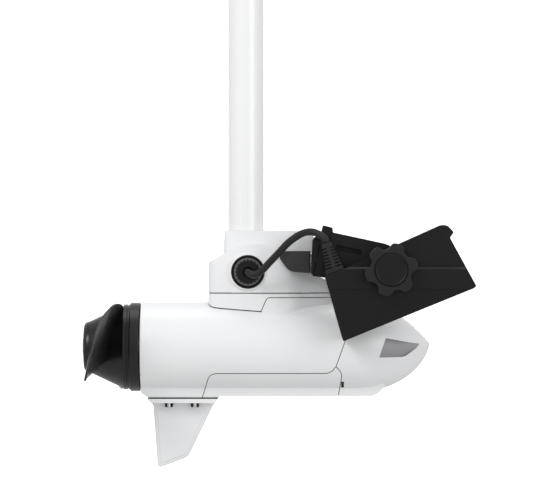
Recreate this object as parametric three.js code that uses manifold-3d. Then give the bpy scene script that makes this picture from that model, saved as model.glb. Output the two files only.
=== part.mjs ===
// Lower unit of an electric trolling motor with its sonar transducer, in millimetres, +Z up.
// The parts are drawn about the motor's own axis: +X to the nose, +Z up the shaft, -Y to starboard.
// One group then lowers them all, so that the middle of the shaft's top face is the origin.

import * as THREE from 'three';
import { mergeVertices } from 'three/addons/utils/BufferGeometryUtils.js';
import Module from 'manifold-3d';

const wasm = await Module();
wasm.setup();

// Driving dimensions
const GAP = 0.35;
const SEAM = 0.7;

const SHAFT = { r: 17, bore: 13.5, foot: 66, top: 355 };
const PLUG_DEPTH = 12;
const HARNESS_R = 5;

const BARREL_R = 42.9;
const BARREL_REAR = -99.8;
const CAVITY_R = 38.6;
const CAVITY_REAR = -99;
const NOSE = { base: 107, length: 68.2, tipZ: 3.5, rise: 39.4, drop: 46.4 };
const KEEL = { half: 17.5, rootHalf: 20.5, bottom: -47.8, frontBottom: -46.3, root: -34 };

const NECK = { rear: -35.9, front: 85, splitZ: 51.8, upperTop: 110.8, upperHalf: 20 };
const STRIP_Z = 47.4;
const NECK_SIDE_STEPS = 20;
const PYLON_FILLET = { r: 25, top: 43.06, foot: 27.5 };
const NECK_POCKET = { x0: -14, x1: 60, half: 12, top: 66 };
const CONDUIT = { x: 49, r: 8 };

const GLAND = { x: 2.1, z: 71.8, boreR: 15.1, lipR: 17.2, face: 28.4 };
const PIVOT = { x: 134.9, z: 74.4 };

const MOTOR_SHAFT_R = 5;
const HUB = { front: -100.7, r: 42.2, ringR: 40.6, coneX: -116.5, coneR: 39.6, tailX: -149, tailR: 24.4 };
const BLADE_ROOT_T = 5.2;
const BLADE_TIP_T = 2.2;

const CABLE_R = 3.4;

// Colours
const finish = (color, roughness, metalness = 0) =>
  new THREE.MeshStandardMaterial({ color, roughness, metalness });
const WHITE = finish(0xe9ebec, 0.42);
const SHAFT_WHITE = finish(0xf1f2f3, 0.3);
const BLACK = finish(0x1c1c1d, 0.6);
const KNOB_BLACK = finish(0x303032, 0.65);
const HUB_BLACK = finish(0x29292a, 0.45);
const GREY = finish(0x4b4c4e, 0.6);
const RUBBER = finish(0x1f1f20, 0.85);
const WINDOW = finish(0x242426, 0.5);
const STEEL = finish(0xb8babc, 0.3, 1);
const ALUMINIUM = finish(0xa9acb0, 0.45, 1);
const LAMINATION = finish(0x6c6e72, 0.5, 0.8);
const COPPER = finish(0xb8703a, 0.35, 0.9);
const BRASS = finish(0xc9a24d, 0.35, 1);
const MAGNET = finish(0x3d3f42, 0.4, 0.6);
const BOARD = finish(0x1f5a38, 0.6);

// Solids

function solid(geometry) {
  const bare = geometry.clone();
  bare.deleteAttribute('normal');
  bare.deleteAttribute('uv');
  const merged = mergeVertices(bare);
  const corners = merged.index.array;
  const triangles = [];
  for (let i = 0; i < corners.length; i += 3) {
    const [a, b, c] = corners.slice(i, i + 3);
    if (a !== b && b !== c && c !== a) triangles.push(a, b, c);
  }
  const vertProperties = merged.attributes.position.array;
  const build = () => new wasm.Manifold(new wasm.Mesh({
    numProp: 3, vertProperties, triVerts: Uint32Array.from(triangles),
  }));
  const made = build();
  if (made.volume() > 0) return made;
  triangles.reverse();
  return build();
}

function geometryOf(made) {
  const { numProp, vertProperties, triVerts } = made.getMesh();
  const positions = new Float32Array(vertProperties.length / numProp * 3);
  for (let i = 0; i < positions.length / 3; i += 1) {
    for (let axis = 0; axis < 3; axis += 1) positions[3 * i + axis] = vertProperties[numProp * i + axis];
  }
  const geometry = new THREE.BufferGeometry();
  geometry.setAttribute('position', new THREE.BufferAttribute(positions, 3));
  geometry.setIndex(Array.from(triVerts));
  geometry.computeVertexNormals();
  return geometry;
}

const union = (...solids) => solids.reduce((sum, next) => sum.add(next));
const cut = (body, ...tools) => tools.reduce((rest, tool) => rest.subtract(tool), body);
const mirrored = (made) => made.mirror([0, 1, 0]);

// An outline is a list of [across, up, corner radius].
function outline(points) {
  const shape = new THREE.Shape();
  points.forEach(([a, b, r = 0], i) => {
    const [beforeA, beforeB] = points.at(i - 1);
    const [afterA, afterB] = points[(i + 1) % points.length];
    const back = new THREE.Vector2(beforeA - a, beforeB - b);
    const on = new THREE.Vector2(afterA - a, afterB - b);
    const reach = Math.min(r, 0.45 * back.length(), 0.45 * on.length());
    back.setLength(reach);
    on.setLength(reach);
    if (i === 0) shape.moveTo(a + back.x, b + back.y);
    else shape.lineTo(a + back.x, b + back.y);
    if (r > 0) shape.quadraticCurveTo(a, b, a + on.x, b + on.y);
  });
  shape.closePath();
  return shape;
}

const X = new THREE.Vector3(1, 0, 0);
const Y = new THREE.Vector3(0, 1, 0);
const Z = new THREE.Vector3(0, 0, 1);
const PLANES = {
  side: { basis: [X, Z, Y.clone().negate()], along: Y, from: 'end' },
  plan: { basis: [X, Y, Z], along: Z, from: 'start' },
  end: { basis: [Y, Z, X], along: X, from: 'start' },
};

// A prism of an outline seen from the side (X, Z), in plan (X, Y) or from the end (Y, Z).
function prism(plane, points, start, end, bevel = 0) {
  const { basis, along, from } = PLANES[plane];
  const geometry = new THREE.ExtrudeGeometry(outline(points), {
    depth: end - start - 2 * bevel,
    curveSegments: 4,
    bevelEnabled: bevel > 0,
    bevelThickness: bevel,
    bevelSize: bevel,
    bevelOffset: -bevel,
    bevelSegments: 1,
  });
  geometry.applyMatrix4(new THREE.Matrix4().makeBasis(...basis));
  const base = from === 'end' ? end - bevel : start + bevel;
  geometry.translate(along.x * base, along.y * base, along.z * base);
  return solid(geometry);
}

// A turned solid: [radius, distance along the axis], about +X, +Z or -Y ('out').
function turned(profile, axis, segments = 32) {
  const points = profile.map(([r, h]) => new THREE.Vector2(r, h));
  const geometry = new THREE.LatheGeometry(points, segments);
  if (axis === 'x') geometry.rotateZ(-Math.PI / 2);
  if (axis === 'z') geometry.rotateX(Math.PI / 2);
  if (axis === 'out') geometry.rotateX(Math.PI);
  return solid(geometry);
}

const rod = (r, start, end, axis, segments = 24) =>
  turned([[0, start], [r, start], [r, end], [0, end]], axis, segments);
const ring = (outer, inner, start, end, axis, segments = 32) =>
  turned([[inner, start], [outer, start], [outer, end], [inner, end], [inner, start]], axis, segments);
const hexagon = (r, start, end, axis) => rod(r, start, end, axis, 6);
const box = (x0, x1, y0, y1, z0, z1) =>
  prism('plan', [[x0, y0], [x1, y0], [x1, y1], [x0, y1]], z0, z1);

// A skin over rings of equal count, with a fan over each end ring.
function loft(rings) {
  const count = rings[0].length;
  const points = rings.flat();
  const index = [];
  for (let s = 0; s < rings.length - 1; s += 1) {
    for (let i = 0; i < count; i += 1) {
      const a = s * count + i;
      const b = s * count + (i + 1) % count;
      index.push(a, b, b + count, a, b + count, a + count);
    }
  }
  for (const [ringIndex, turn] of [[0, 1], [rings.length - 1, 0]]) {
    const middle = new THREE.Vector3();
    rings[ringIndex].forEach((point) => middle.addScaledVector(point, 1 / count));
    points.push(middle);
    for (let i = 0; i < count; i += 1) {
      const a = ringIndex * count + (i + turn) % count;
      const b = ringIndex * count + (i + 1 - turn) % count;
      index.push(points.length - 1, a, b);
    }
  }
  const geometry = new THREE.BufferGeometry().setFromPoints(points);
  geometry.setIndex(index);
  return solid(geometry);
}

// A ribbon of even width along a line of [x, z], as an outline.
function ribbon(line, width) {
  const sides = [1, -1].map((side) => line.map((point, i) => {
    const before = line[Math.max(i - 1, 0)];
    const after = line[Math.min(i + 1, line.length - 1)];
    const along = new THREE.Vector2(after[0] - before[0], after[1] - before[1]).normalize();
    return [point[0] - side * along.y * width / 2, point[1] + side * along.x * width / 2];
  }));
  return [...sides[0], ...sides[1].reverse()];
}

const motor = new THREE.Group();
motor.position.z = -SHAFT.top;

function piece(name, material, made, parent = motor) {
  const mesh = new THREE.Mesh(geometryOf(made), material);
  mesh.name = name;
  parent.add(mesh);
  return mesh;
}

// Seams between the motor housing, the bottom cover and the nose cone, as [x, z]
const TRAY_LINE = [
  [-42, -60], [-41.3, -47.8], [-35.4, -28.9], [-32.8, -25.6], [-28.4, -24.1],
  [74.5, -24], [78, -23.6], [82, -21.4], [85.2, -17.4],
];
const NOSE_LINE = [[85.2, -17.4], [93.3, 5.5], [107, 42.9], [111.6, 56]];
const CHIN_LINE = [
  [85.2, -17.4], [88.9, -21.3], [90.8, -25.3], [90.2, -31.3], [88.8, -40.4], [87.8, -46.1], [86, -60],
];
const WIDE = 60;

const sideRegion = (points) => prism('side', points, -WIDE, WIDE);

function noseRing(u) {
  const { base, length, tipZ, rise, drop } = NOSE;
  const top = tipZ + rise * (1 - u ** 2.1);
  const bottom = tipZ - drop * (1 - u ** 2) ** 0.6;
  const middle = tipZ * u;
  const half = BARREL_R * (1 - u ** 2.1) + 0.5 * u;
  return Array.from({ length: 48 }, (_, i) => {
    const angle = 2 * Math.PI * i / 48;
    const height = Math.sin(angle) > 0 ? top - middle : middle - bottom;
    return new THREE.Vector3(base + length * u, half * Math.cos(angle), middle + height * Math.sin(angle));
  });
}

// The outside of the barrel, keel and nose as one full body
function outerBody() {
  const barrel = rod(BARREL_R, BARREL_REAR, NOSE.base, 'x', 48);
  const steps = 9;
  const rings = Array.from({ length: steps }, (_, i) => noseRing(Math.sin(Math.PI / 2 * i / steps)));
  const nose = loft([...rings, noseRing(0.9995)]);
  const { half, rootHalf, bottom, frontBottom, root } = KEEL;
  const keelEnd = prism('end', [
    [-rootHalf, root], [-half, bottom, 2], [half, bottom, 2], [rootHalf, root],
  ], BARREL_REAR, NOSE.base + 30);
  const keelSide = sideRegion([
    [-99.4, root], [-99.4, -43.1, 1.5], [-92.8, bottom, 1.5], [-26, bottom], [-24.5, frontBottom],
    [123, frontBottom, 6], [132.5, -36.4], [131, root],
  ]);
  return union(barrel, nose, keelEnd.intersect(keelSide));
}

// The saddle, the pylon and the lower neck share one plan, drawn as a smooth line down each side.
function neckPlan(inset = 0) {
  const rear = NECK.rear + inset;
  const front = NECK.front - inset;
  const side = new THREE.CatmullRomCurve3([[rear, 11], [-34.6, 17], [-29.7, 21.3], [-15, 23.8], [13, 26.8],
    [30, 27.3], [45, 24.4], [60, 18.8], [front - 6, 13], [front, 5]]
    .map(([x, y]) => new THREE.Vector3(x, y - inset, 0)), false, 'centripetal');
  const right = side.getPoints(NECK_SIDE_STEPS).map(({ x, y }) => [x, y]);
  const left = right.map(([x, y]) => [x, -y]).reverse();
  return [...right, ...left];
}

const SADDLE_LINE = [[14.9, 20], [14.9, 35.1], [19, 44.6], [20.4, 46.8], [23, STRIP_Z], [100, STRIP_Z]];

// The pylon under the saddle, flared where it meets the barrel
function pylon() {
  const post = prism('plan', neckPlan(), 20, NECK.splitZ);
  const region = sideRegion([...SADDLE_LINE, [100, 20]]);
  const { r, top, foot } = PYLON_FILLET;
  const levels = [STRIP_Z, top, 40, 37, 34, 31.5, 29.5, foot, 20];
  const flare = loft(levels.map((z) => {
    const down = THREE.MathUtils.clamp(top - z, 0, top - foot);
    const growth = r - Math.sqrt(r ** 2 - down ** 2);
    return neckPlan().map(([x, y]) => {
      const spread = growth * THREE.MathUtils.smoothstep(x, 14, 44);
      return new THREE.Vector3(x + (x > 70 ? spread : 0), y + Math.sign(y) * spread, z);
    });
  }));
  const block = union(post, flare).intersect(region);
  return cut(block, sideRegion(ribbon(SADDLE_LINE, SEAM)));
}

// The scooped recess on one side of the nose
function noseRecess() {
  const opening = sideRegion([
    [132.2, 9.5], [125.8, -8.9], [150.2, -8.7, 3], [162.6, -0.2, 3], [165, 3.4], [155.3, 4.8],
  ]);
  const floor = prism('plan', [[118, -WIDE], [118, -30.5], [127, -28], [165, -14], [172, -WIDE]], -20, 20);
  return opening.intersect(floor);
}

function hexBolt(headR, headStart, headEnd, shankR, shankEnd, axis) {
  return union(hexagon(headR, headStart, headEnd, axis), rod(shankR, headEnd - 0.1, shankEnd, axis, 16));
}

const SKEG_BOLTS = [[-73.2, -11], [-73.2, 11], [-48.5, -11], [-48.5, 11]];
const SKEG_HOLE_TOP = -42.5;

// Motor housing, bottom cover and nose cone, parted along the seams
{
  const cavity = turned([
    [0, CAVITY_REAR - 5], [CAVITY_R, CAVITY_REAR - 5], [CAVITY_R, 104], [30, 119], [0, 119],
  ], 'x', 40);
  const seams = [TRAY_LINE, NOSE_LINE, CHIN_LINE].map((line) => sideRegion(ribbon(line, SEAM)));
  const conduit = rod(CONDUIT.r, 30, 60, 'z').translate([CONDUIT.x, 0, 0]);
  const boltHoles = SKEG_BOLTS.map(([x, y]) => rod(2.4, -60, SKEG_HOLE_TOP, 'z', 12).translate([x, y, 0]));
  const shell = cut(union(outerBody(), pylon()), cavity, ...seams);

  const tray = sideRegion([...TRAY_LINE, ...CHIN_LINE.slice(1)]);
  const nose = sideRegion([...CHIN_LINE.toReversed(), ...NOSE_LINE.slice(1), [200, 56], [200, -60]]);
  const notch = box(90.4, 93, -WIDE, WIDE, -38, -32);
  piece('motor_housing', WHITE, cut(shell, tray, nose, conduit, ...boltHoles,
    ...neckBolts().map(({ hole }) => hole)));
  piece('bottom_cover', WHITE, shell.intersect(tray));
  piece('nose_cone', WHITE, cut(shell.intersect(nose), noseRecess(), mirrored(noseRecess()), notch));
}

// The neck's three upright bolts: two at the front, one at the rear
function neckBolts() {
  return [[48, -14, 104], [48, 14, 104], [-27.5, 0, 76]].map(([x, y, seat]) => ({
    bolt: union(hexagon(4.2, seat + GAP, seat + 5, 'z'), rod(2.2, x > 0 ? 45 : 46, seat + GAP + 0.1, 'z', 12))
      .translate([x, y, 0]),
    hole: union(rod(2.6, x > 0 ? 44.5 : 45, seat + 1, 'z', 12), rod(5.4, seat, 120, 'z', 24))
      .translate([x, y, 0]),
  }));
}

// Neck: housing, gasket and saddle base
const gland = new THREE.Group();
gland.position.set(GLAND.x, 0, GLAND.z);
motor.add(gland);

{
  const lower = prism('plan', neckPlan(), NECK.splitZ + GAP, NECK.upperTop);
  const shoulder = sideRegion([
    [-36, 40], [-35.2, 81], [-22.4, 87.9], [-10, 94.6, 3], [2.4, 98, 3], [18, 98.3, 4], [26.3, 95.7, 3],
    [37, 86.7, 4], [50, 76], [72, 66, 4], [86, 60], [86, 40],
  ]);
  const upper = prism('plan', [
    [-21, -12, 4], [-19.5, -17, 3], [-12, -NECK.upperHalf, 4], [44, -NECK.upperHalf, 6], [66, -13, 8],
    [66, 13, 8], [44, NECK.upperHalf, 6], [-12, NECK.upperHalf, 4], [-19.5, 17, 3], [-21, 12, 4],
  ], NECK.splitZ + GAP, NECK.upperTop);
  const upperSide = sideRegion([
    [-22.3, 40], [-21.9, 88.4], [-19.9, NECK.upperTop], [63, NECK.upperTop, 4], [68, 92, 3], [70, 40],
  ]);
  const outside = union(lower.intersect(shoulder), upper.intersect(upperSide),
    rod(GLAND.lipR, 20, GLAND.face, 'out', 40).translate([GLAND.x, 0, GLAND.z]));
  const socket = rod(SHAFT.r + GAP, SHAFT.foot - GAP, 130, 'z', 40);
  const { x0, x1, half, top } = NECK_POCKET;
  const pocket = box(x0, x1, -half, half, 40, top);
  const passage = rod(9, 40, SHAFT.foot + 1, 'z');
  const glandBore = rod(GLAND.boreR, 17.8, 40, 'out', 40).translate([GLAND.x, 0, GLAND.z]);
  const screwHoles = [95, 104].map((z) => rod(2.8, -30, -15, 'x', 12).translate([0, 0, z]));
  const holes = neckBolts().map(({ hole }) => hole);
  piece('neck_housing', WHITE, cut(outside, socket, pocket, passage, glandBore,
    ...screwHoles, ...holes));

  const gasketBottom = NECK.splitZ - 0.3;
  const gasket = prism('plan', neckPlan(1), gasketBottom, NECK.splitZ + 0.05);
  piece('neck_gasket', RUBBER, cut(gasket, box(x0, x1, -half, half, 40, top), ...holes));

  const saddle = prism('plan', neckPlan(), 15, gasketBottom - GAP);
  const region = sideRegion([...SADDLE_LINE, [100, 60], [-60, 60], [-60, 20]]);
  const barrel = rod(BARREL_R + GAP, -110, 110, 'x', 40);
  const conduit = rod(CONDUIT.r, 30, 60, 'z').translate([CONDUIT.x, 0, 0]);
  piece('neck_base', WHITE, cut(saddle.intersect(region), barrel, sideRegion(ribbon(SADDLE_LINE, SEAM)),
    conduit, ...holes));

  neckBolts().forEach(({ bolt }, i) => piece(`neck_bolt_${i + 1}`, STEEL, bolt));
  [95, 104].forEach((z, i) => {
    piece(`shaft_set_screw_${i + 1}`, STEEL, rod(2.5, -20.4, -17.6, 'x', 12).translate([0, 0, z]));
  });
}

// Shaft with its plug and the harness that runs down it
{
  piece('shaft_tube', SHAFT_WHITE, ring(SHAFT.r, SHAFT.bore, SHAFT.foot, SHAFT.top, 'z', 40));
  const plugBottom = SHAFT.top - PLUG_DEPTH;
  const sockets = Array.from({ length: 6 }, (_, i) => {
    const angle = Math.PI / 3 * i;
    return rod(1.4, SHAFT.top - 6, SHAFT.top + 1, 'z', 8)
      .translate([8 * Math.cos(angle), 8 * Math.sin(angle), 0]);
  });
  piece('harness_connector', BLACK,
    cut(rod(SHAFT.bore - GAP, plugBottom, SHAFT.top, 'z', 40), ...sockets));
  const route = new THREE.CatmullRomCurve3([
    [0, 0, plugBottom - GAP], [0, 0, 200], [0, 0, 84], [1, 0, 69], [9, 0, 60], [20, 0, 58.4],
    [34, 0, 58.6], [43, 0, 57.4], [48.4, 0, 51.5], [CONDUIT.x, 0, 42], [CONDUIT.x, 0, 34], [CONDUIT.x, 0, 22],
  ].map((point) => new THREE.Vector3(...point)), false, 'centripetal');
  const section = new THREE.Shape().absarc(0, 0, HARNESS_R, 0, 2 * Math.PI);
  piece('power_harness', RUBBER, solid(new THREE.ExtrudeGeometry(section, {
    steps: 24, extrudePath: route, curveSegments: 5, bevelEnabled: false,
  })));
}

// Cable gland: fixed bezel, rubber seal, slip ring and knurled nut, drawn from the motor's middle plane
{
  const { face } = GLAND;
  piece('gland_bezel', BLACK, turned([
    [13.9, face + 0.9], [15.9, face + 0.9], [15.9, face + GAP], [14.7, face + GAP], [14.7, 18.4], [5, 18.4],
    [5, 20], [13.9, 20], [13.9, face + 0.9],
  ], 'out', 40), gland);
  piece('cable_seal', RUBBER, turned([
    [3.75, 20.3], [8, 20.3], [12.6, 23.5], [12.6, 25], [3.75, 25], [3.75, 20.3],
  ], 'out', 32), gland);
  piece('gland_slip_ring', STEEL, ring(12.4, 5.4, 25.3, 26.2, 'out'), gland);
  const grooves = Array.from({ length: 24 }, (_, i) => {
    const angle = Math.PI / 12 * i;
    return rod(0.9, 26, 40, 'out', 8).translate([13.6 * Math.cos(angle), 0, 13.6 * Math.sin(angle)]);
  });
  piece('gland_nut', KNOB_BLACK, cut(turned([
    [4.4, 26.5], [13.3, 26.5], [13.3, 30.4], [12.3, 31.4], [6.2, 32], [4.4, 30.8], [4.4, 26.5],
  ], 'out', 32), ...grooves), gland);
}

// Grey cheek that carries the bracket on the neck's starboard side
const CHEEK_BOLT_Z = [76.5, 88];
{
  const cheekPlan = prism('plan', [
    [30, -27.8], [33, -32, 2], [40, -34, 4], [61.2, -34, 1], [61.2, -18.6], [60, -18.9], [44, -24.9],
  ], 60, 100);
  const cheekSide = sideRegion([
    [31.5, 91.5], [32.5, 84], [41, 72, 6], [61.2, 70.8], [61.2, 91.5],
  ]);
  const upright = prism('plan', neckPlan(-GAP), 40, 100);
  const boltHoles = CHEEK_BOLT_Z.map((z) => rod(1.9, 50, 70, 'x', 12).translate([0, -27, z]));
  const lower = prism('plan', [
    [-21, -20.35], [44, -20.35], [66.4, -13.35], [66.4, 13], [-21, 13]], 40, 100);
  piece('mount_cheek', GREY, cut(cheekPlan.intersect(cheekSide), upright, lower, ...boltHoles));
}

// Bracket: an upright base plate with a long arm out to the pivot
const ARM = { near: 62, far: 50 };
{
  const base = prism('side', [
    [61.6, 70.8], [63.4, 68.2], [71.1, 67, 1], [79.6, 108.6], [82, 109.2], [81.5, 113.5, 1], [72.9, 115.8, 1],
    [71.4, 110], [63, 102.6, 2],
  ], -63.4, -19);
  const arm = prism('side', [
    [66, 100], [81, 109.3], [134.4, 97.8, 6], [147, 88, 6], [150.5, 74.4, 6], [146, 61.5, 8], [132, 60.5, 4],
    [71.1, 67],
  ], -ARM.near, -ARM.far);
  const gusset = prism('plan', [[70, -ARM.far - 1], [70, -22], [76, -22], [96, -ARM.far - 1]], 80.8, 83.7);
  const slot = prism('side', [[85, 97.6, 2], [109, 92.6, 2], [109, 87.6, 2], [85, 92.6, 2]], -80, -55);
  const pockets = [
    prism('side', [[66.5, 86], [68, 85.7], [70.2, 96.6], [68.7, 97]], -70, -60.4),
    prism('side', [[63.4, 71.4], [65, 71], [67, 80.6], [65.4, 81]], -70, -60.4),
  ];
  const eye = rod(4.4, 40, 70, 'out', 32).translate([PIVOT.x, 0, PIVOT.z]);
  const boltHoles = CHEEK_BOLT_Z.map((z) => rod(2.4, 55, 90, 'x', 12).translate([0, -27, z]));
  const clear = cut(base, box(72.6, 90, -48, -19, 60, 104));
  piece('mount_bracket', BLACK, cut(union(clear, arm, gusset), slot, ...pockets, eye, ...boltHoles));
  CHEEK_BOLT_Z.forEach((z, i) => {
    const bolt = union(hexagon(3.8, 73, 76.4, 'x'), rod(1.8, 52, 73.1, 'x', 12));
    piece(`bracket_bolt_${i + 1}`, STEEL, bolt.translate([0, -27, z]));
  });
}

// Transducer, drawn about its pivot as [x, z], with the depths measured out from the motor's middle
const pivot = new THREE.Group();
pivot.position.set(PIVOT.x, 0, PIVOT.z);
motor.add(pivot);

const SOUNDER = {
  a: [-61.1, -5.8], b: [-43.7, -66.3], c: [76.1, -17.5], d: [79.9, -15.4], e: [55.2, 29.7],
  f: [58.9, 34.8], g: [52.8, 41.2], h: [47.1, 41.6], j: [-42.8, 1.2],
};
const SOUNDER_Y = { inner: 47, back: 64, plate: 84, band: 91, foot: 86.5 };
const THICK = 28;
const boardAngle = Math.atan2(SOUNDER.c[1] - SOUNDER.b[1], SOUNDER.c[0] - SOUNDER.b[0]);
const faceLength = Math.hypot(SOUNDER.c[1] - SOUNDER.b[1], SOUNDER.c[0] - SOUNDER.b[0]);

// A box laid along the acoustic face: from and to along it, low and high above it, depths out
function faceBox(from, to, low, high, far, near) {
  return box(from, to, -near, -far, low, high)
    .rotate([0, -boardAngle * 180 / Math.PI, 0])
    .translate([SOUNDER.b[0], 0, SOUNDER.b[1]]);
}

{
  const { a, b, c, d, e, f, g, h, j } = SOUNDER;
  const { inner, back, plate, band, foot } = SOUNDER_Y;
  const whole = [a, b, c, d, e, f, [...g, 2], [...h, 1], j];
  const slab = prism('side', whole, -plate, -back);
  const bulgeEnd = prism('end', [
    [-back, 2.7], [-plate + 2, 2.7], [-band, 0.6], [-band, -18.3], [-foot, -68], [-back, -68],
  ], -64, 78.5);
  const bulge = prism('side', [a, b, c, [77.8, -16.6], [68.6, 2.7], [-37.2, 2.7], j], -99, -back)
    .intersect(bulgeEnd);
  const thick = prism('side', whole, -back - 1, -inner).intersect(faceBox(-10, 150, -5, THICK, 30, 70));
  const boss = rod(15, back + 1, band + 0.2, 'out', 32);
  const cavity = faceBox(6, faceLength - 6, -2, 22, inner + 3, plate - 2.5);
  const bore = rod(4.4, 40, 110, 'out', 32);
  piece('transducer_housing', BLACK, cut(union(slab, bulge, thick, boss), cavity, bore), pivot);
  piece('array_window', WINDOW,
    faceBox(6 + GAP, faceLength - 6 - GAP, 0, 3, inner + 3 + GAP, plate - 2.5 - GAP), pivot);
  piece('array_module', LAMINATION,
    faceBox(12, faceLength - 12, 3 + GAP, 19, inner + 6, plate - 6), pivot);
  piece('friction_washer', RUBBER, ring(13, 4.4, 62.3, 63.7, 'out'), pivot);

  const pivotBolt = union(rod(7.5, 45.8, 49.6, 'out', 32), rod(4, 49.5, 103.5, 'out', 32));
  piece('pivot_bolt', STEEL, pivotBolt, pivot);
}

// Clamp knob with six lobes, its insert, cap and washer
{
  const knobBack = 93.4;
  const knobFace = 105;
  const lobes = new THREE.Shape();
  const turns = 72;
  for (let i = 0; i < turns; i += 1) {
    const angle = 2 * Math.PI * i / turns;
    const wave = Math.cos(6 * (angle - THREE.MathUtils.degToRad(14)));
    const r = 22 + 2.9 * Math.tanh(1.9 * wave + 0.45) / Math.tanh(2.35);
    if (i === 0) lobes.moveTo(r * Math.cos(angle), r * Math.sin(angle));
    else lobes.lineTo(r * Math.cos(angle), r * Math.sin(angle));
  }
  const lobed = new THREE.ExtrudeGeometry(lobes, {
    depth: knobFace - knobBack - 2.4, bevelThickness: 1.2, bevelSize: 1.2, bevelOffset: -1.2, bevelSegments: 1,
  });
  lobed.rotateX(Math.PI / 2);
  lobed.translate(0, -knobBack - 1.2, 0);
  const insertHole = rod(6.9, 90, 103.9, 'out', 32);
  const capSeat = ring(15.6, 15, 104, 110, 'out');
  piece('clamp_knob', KNOB_BLACK, cut(solid(lobed), insertHole, capSeat), pivot);
  piece('knob_insert', BRASS, ring(6.5, 4.3, knobBack + 0.2, 103.4, 'out', 32), pivot);
  piece('knob_cap', BLACK, rod(14.6, knobFace + 0.3, 106.9, 'out', 40), pivot);
  piece('knob_washer', STEEL, ring(12.5, 4.4, SOUNDER_Y.band + 0.5, SOUNDER_Y.band + 1.9, 'out'), pivot);
}

// Strain relief boot on the transducer's upper rear edge, ribbed by two columns of slots
const BOOT = { base: [83.7, 72.7], top: [75.3, 99.3], y: -79, baseHalf: 8.8, topHalf: 4.4 };
{
  const [baseX, baseZ] = BOOT.base;
  const [topX, topZ] = BOOT.top;
  const length = Math.hypot(topX - baseX, topZ - baseZ);
  const lean = Math.atan2(baseX - topX, topZ - baseZ) * 180 / Math.PI;
  const sectionAt = (half, depth, z) => [[-1, -1], [1, -1], [1, 1], [-1, 1]]
    .map(([i, j]) => new THREE.Vector3(i * half, j * depth, z));
  const body = loft([
    sectionAt(BOOT.baseHalf, 6.5, -4), sectionAt(BOOT.baseHalf, 6.5, 0), sectionAt(BOOT.topHalf, 4.3, length),
  ]);
  const slots = Array.from({ length: 7 }, (_, i) => {
    const z = 4 + 3 * i;
    const reach = BOOT.baseHalf + 1;
    return [box(1.4, reach, -9, 9, z, z + 1.4), box(-reach, -1.4, -9, 9, z, z + 1.4)];
  }).flat();
  const core = loft([sectionAt(3.4, 3.4, -3), sectionAt(2.8, 2.8, length - 0.4)]);
  const placed = union(cut(body, ...slots), core)
    .rotate([0, -lean, 0])
    .translate([baseX, BOOT.y, baseZ]);
  const plate = prism('side', [SOUNDER.a, SOUNDER.b, SOUNDER.c, SOUNDER.h, SOUNDER.j], -95, -60)
    .translate([PIVOT.x, 0, PIVOT.z]);
  const growth = plate.translate([-0.12, 0, GAP]);
  piece('strain_relief', RUBBER, cut(placed, growth));
}

// Transducer cable, whole, from the gland's seal to the boot
{
  const route = new THREE.CatmullRomCurve3([
    [2.1, -21, 71.8], [2.1, -30, 71.8], [2.1, -35.5, 71.8], [3.9, -40.6, 70.4], [9.4, -44.4, 69.2],
    [15.5, -47, 73.4], [23.1, -50, 81.4], [31.5, -54, 90.2], [39.9, -58, 99.1], [47.9, -62, 105.1],
    [54.8, -66, 108.6], [62.2, -71, 109.5], [67.8, -75, 107.8], [72, -78, 105.2], [74.2, -79, 102.6], [75, -79, 100.2],
  ].map((point) => new THREE.Vector3(...point)), false, 'centripetal');
  const section = new THREE.Shape().absarc(0, 0, CABLE_R, 0, 2 * Math.PI);
  piece('transducer_cable', RUBBER, solid(new THREE.ExtrudeGeometry(section, {
    steps: 26, extrudePath: route, curveSegments: 5, bevelEnabled: false,
  })));
}

// Skeg: a flange under the keel and a chamfered blade
{
  const flange = prism('side', [
    [-93.6, KEEL.bottom - GAP], [-25.9, KEEL.bottom - GAP], [-29.2, -52.9], [-90.4, -52.9],
  ], -17, 17);
  const shoulder = prism('side', [[-90.4, -52.8], [-29.2, -52.8], [-31, -55.6], [-88.4, -55.5]], -6.5, 6.5);
  const edge = [[-90, -51], [-88.4, -55.5], [-84, -115.7], [-81.2, -115.7], [-55.1, -105], [-53, -101.4],
    [-31, -55.6], [-29.5, -51]];
  const bevelled = prism('side', edge, -3.6, 3.6, 2);
  const rounded = sideRegion([[-90, -51], [-88.4, -55.5], [-84, -115.7, 4], [-55.1, -105, 4], [-31, -55.6],
    [-29.5, -51]]);
  const holes = SKEG_BOLTS.map(([x, y]) => rod(2.4, -60, -40, 'z', 12).translate([x, y, 0]));
  piece('skeg', WHITE, cut(union(flange, shoulder, bevelled.intersect(rounded)), ...holes));
  const bolt = hexBolt(3.9, -57.5, -53.2, 2, SKEG_HOLE_TOP - 0.5, 'z');
  SKEG_BOLTS.forEach(([x, y], i) => {
    piece(`skeg_bolt_${i + 1}`, STEEL, bolt).position.set(x, y, 0);
  });
}

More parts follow.
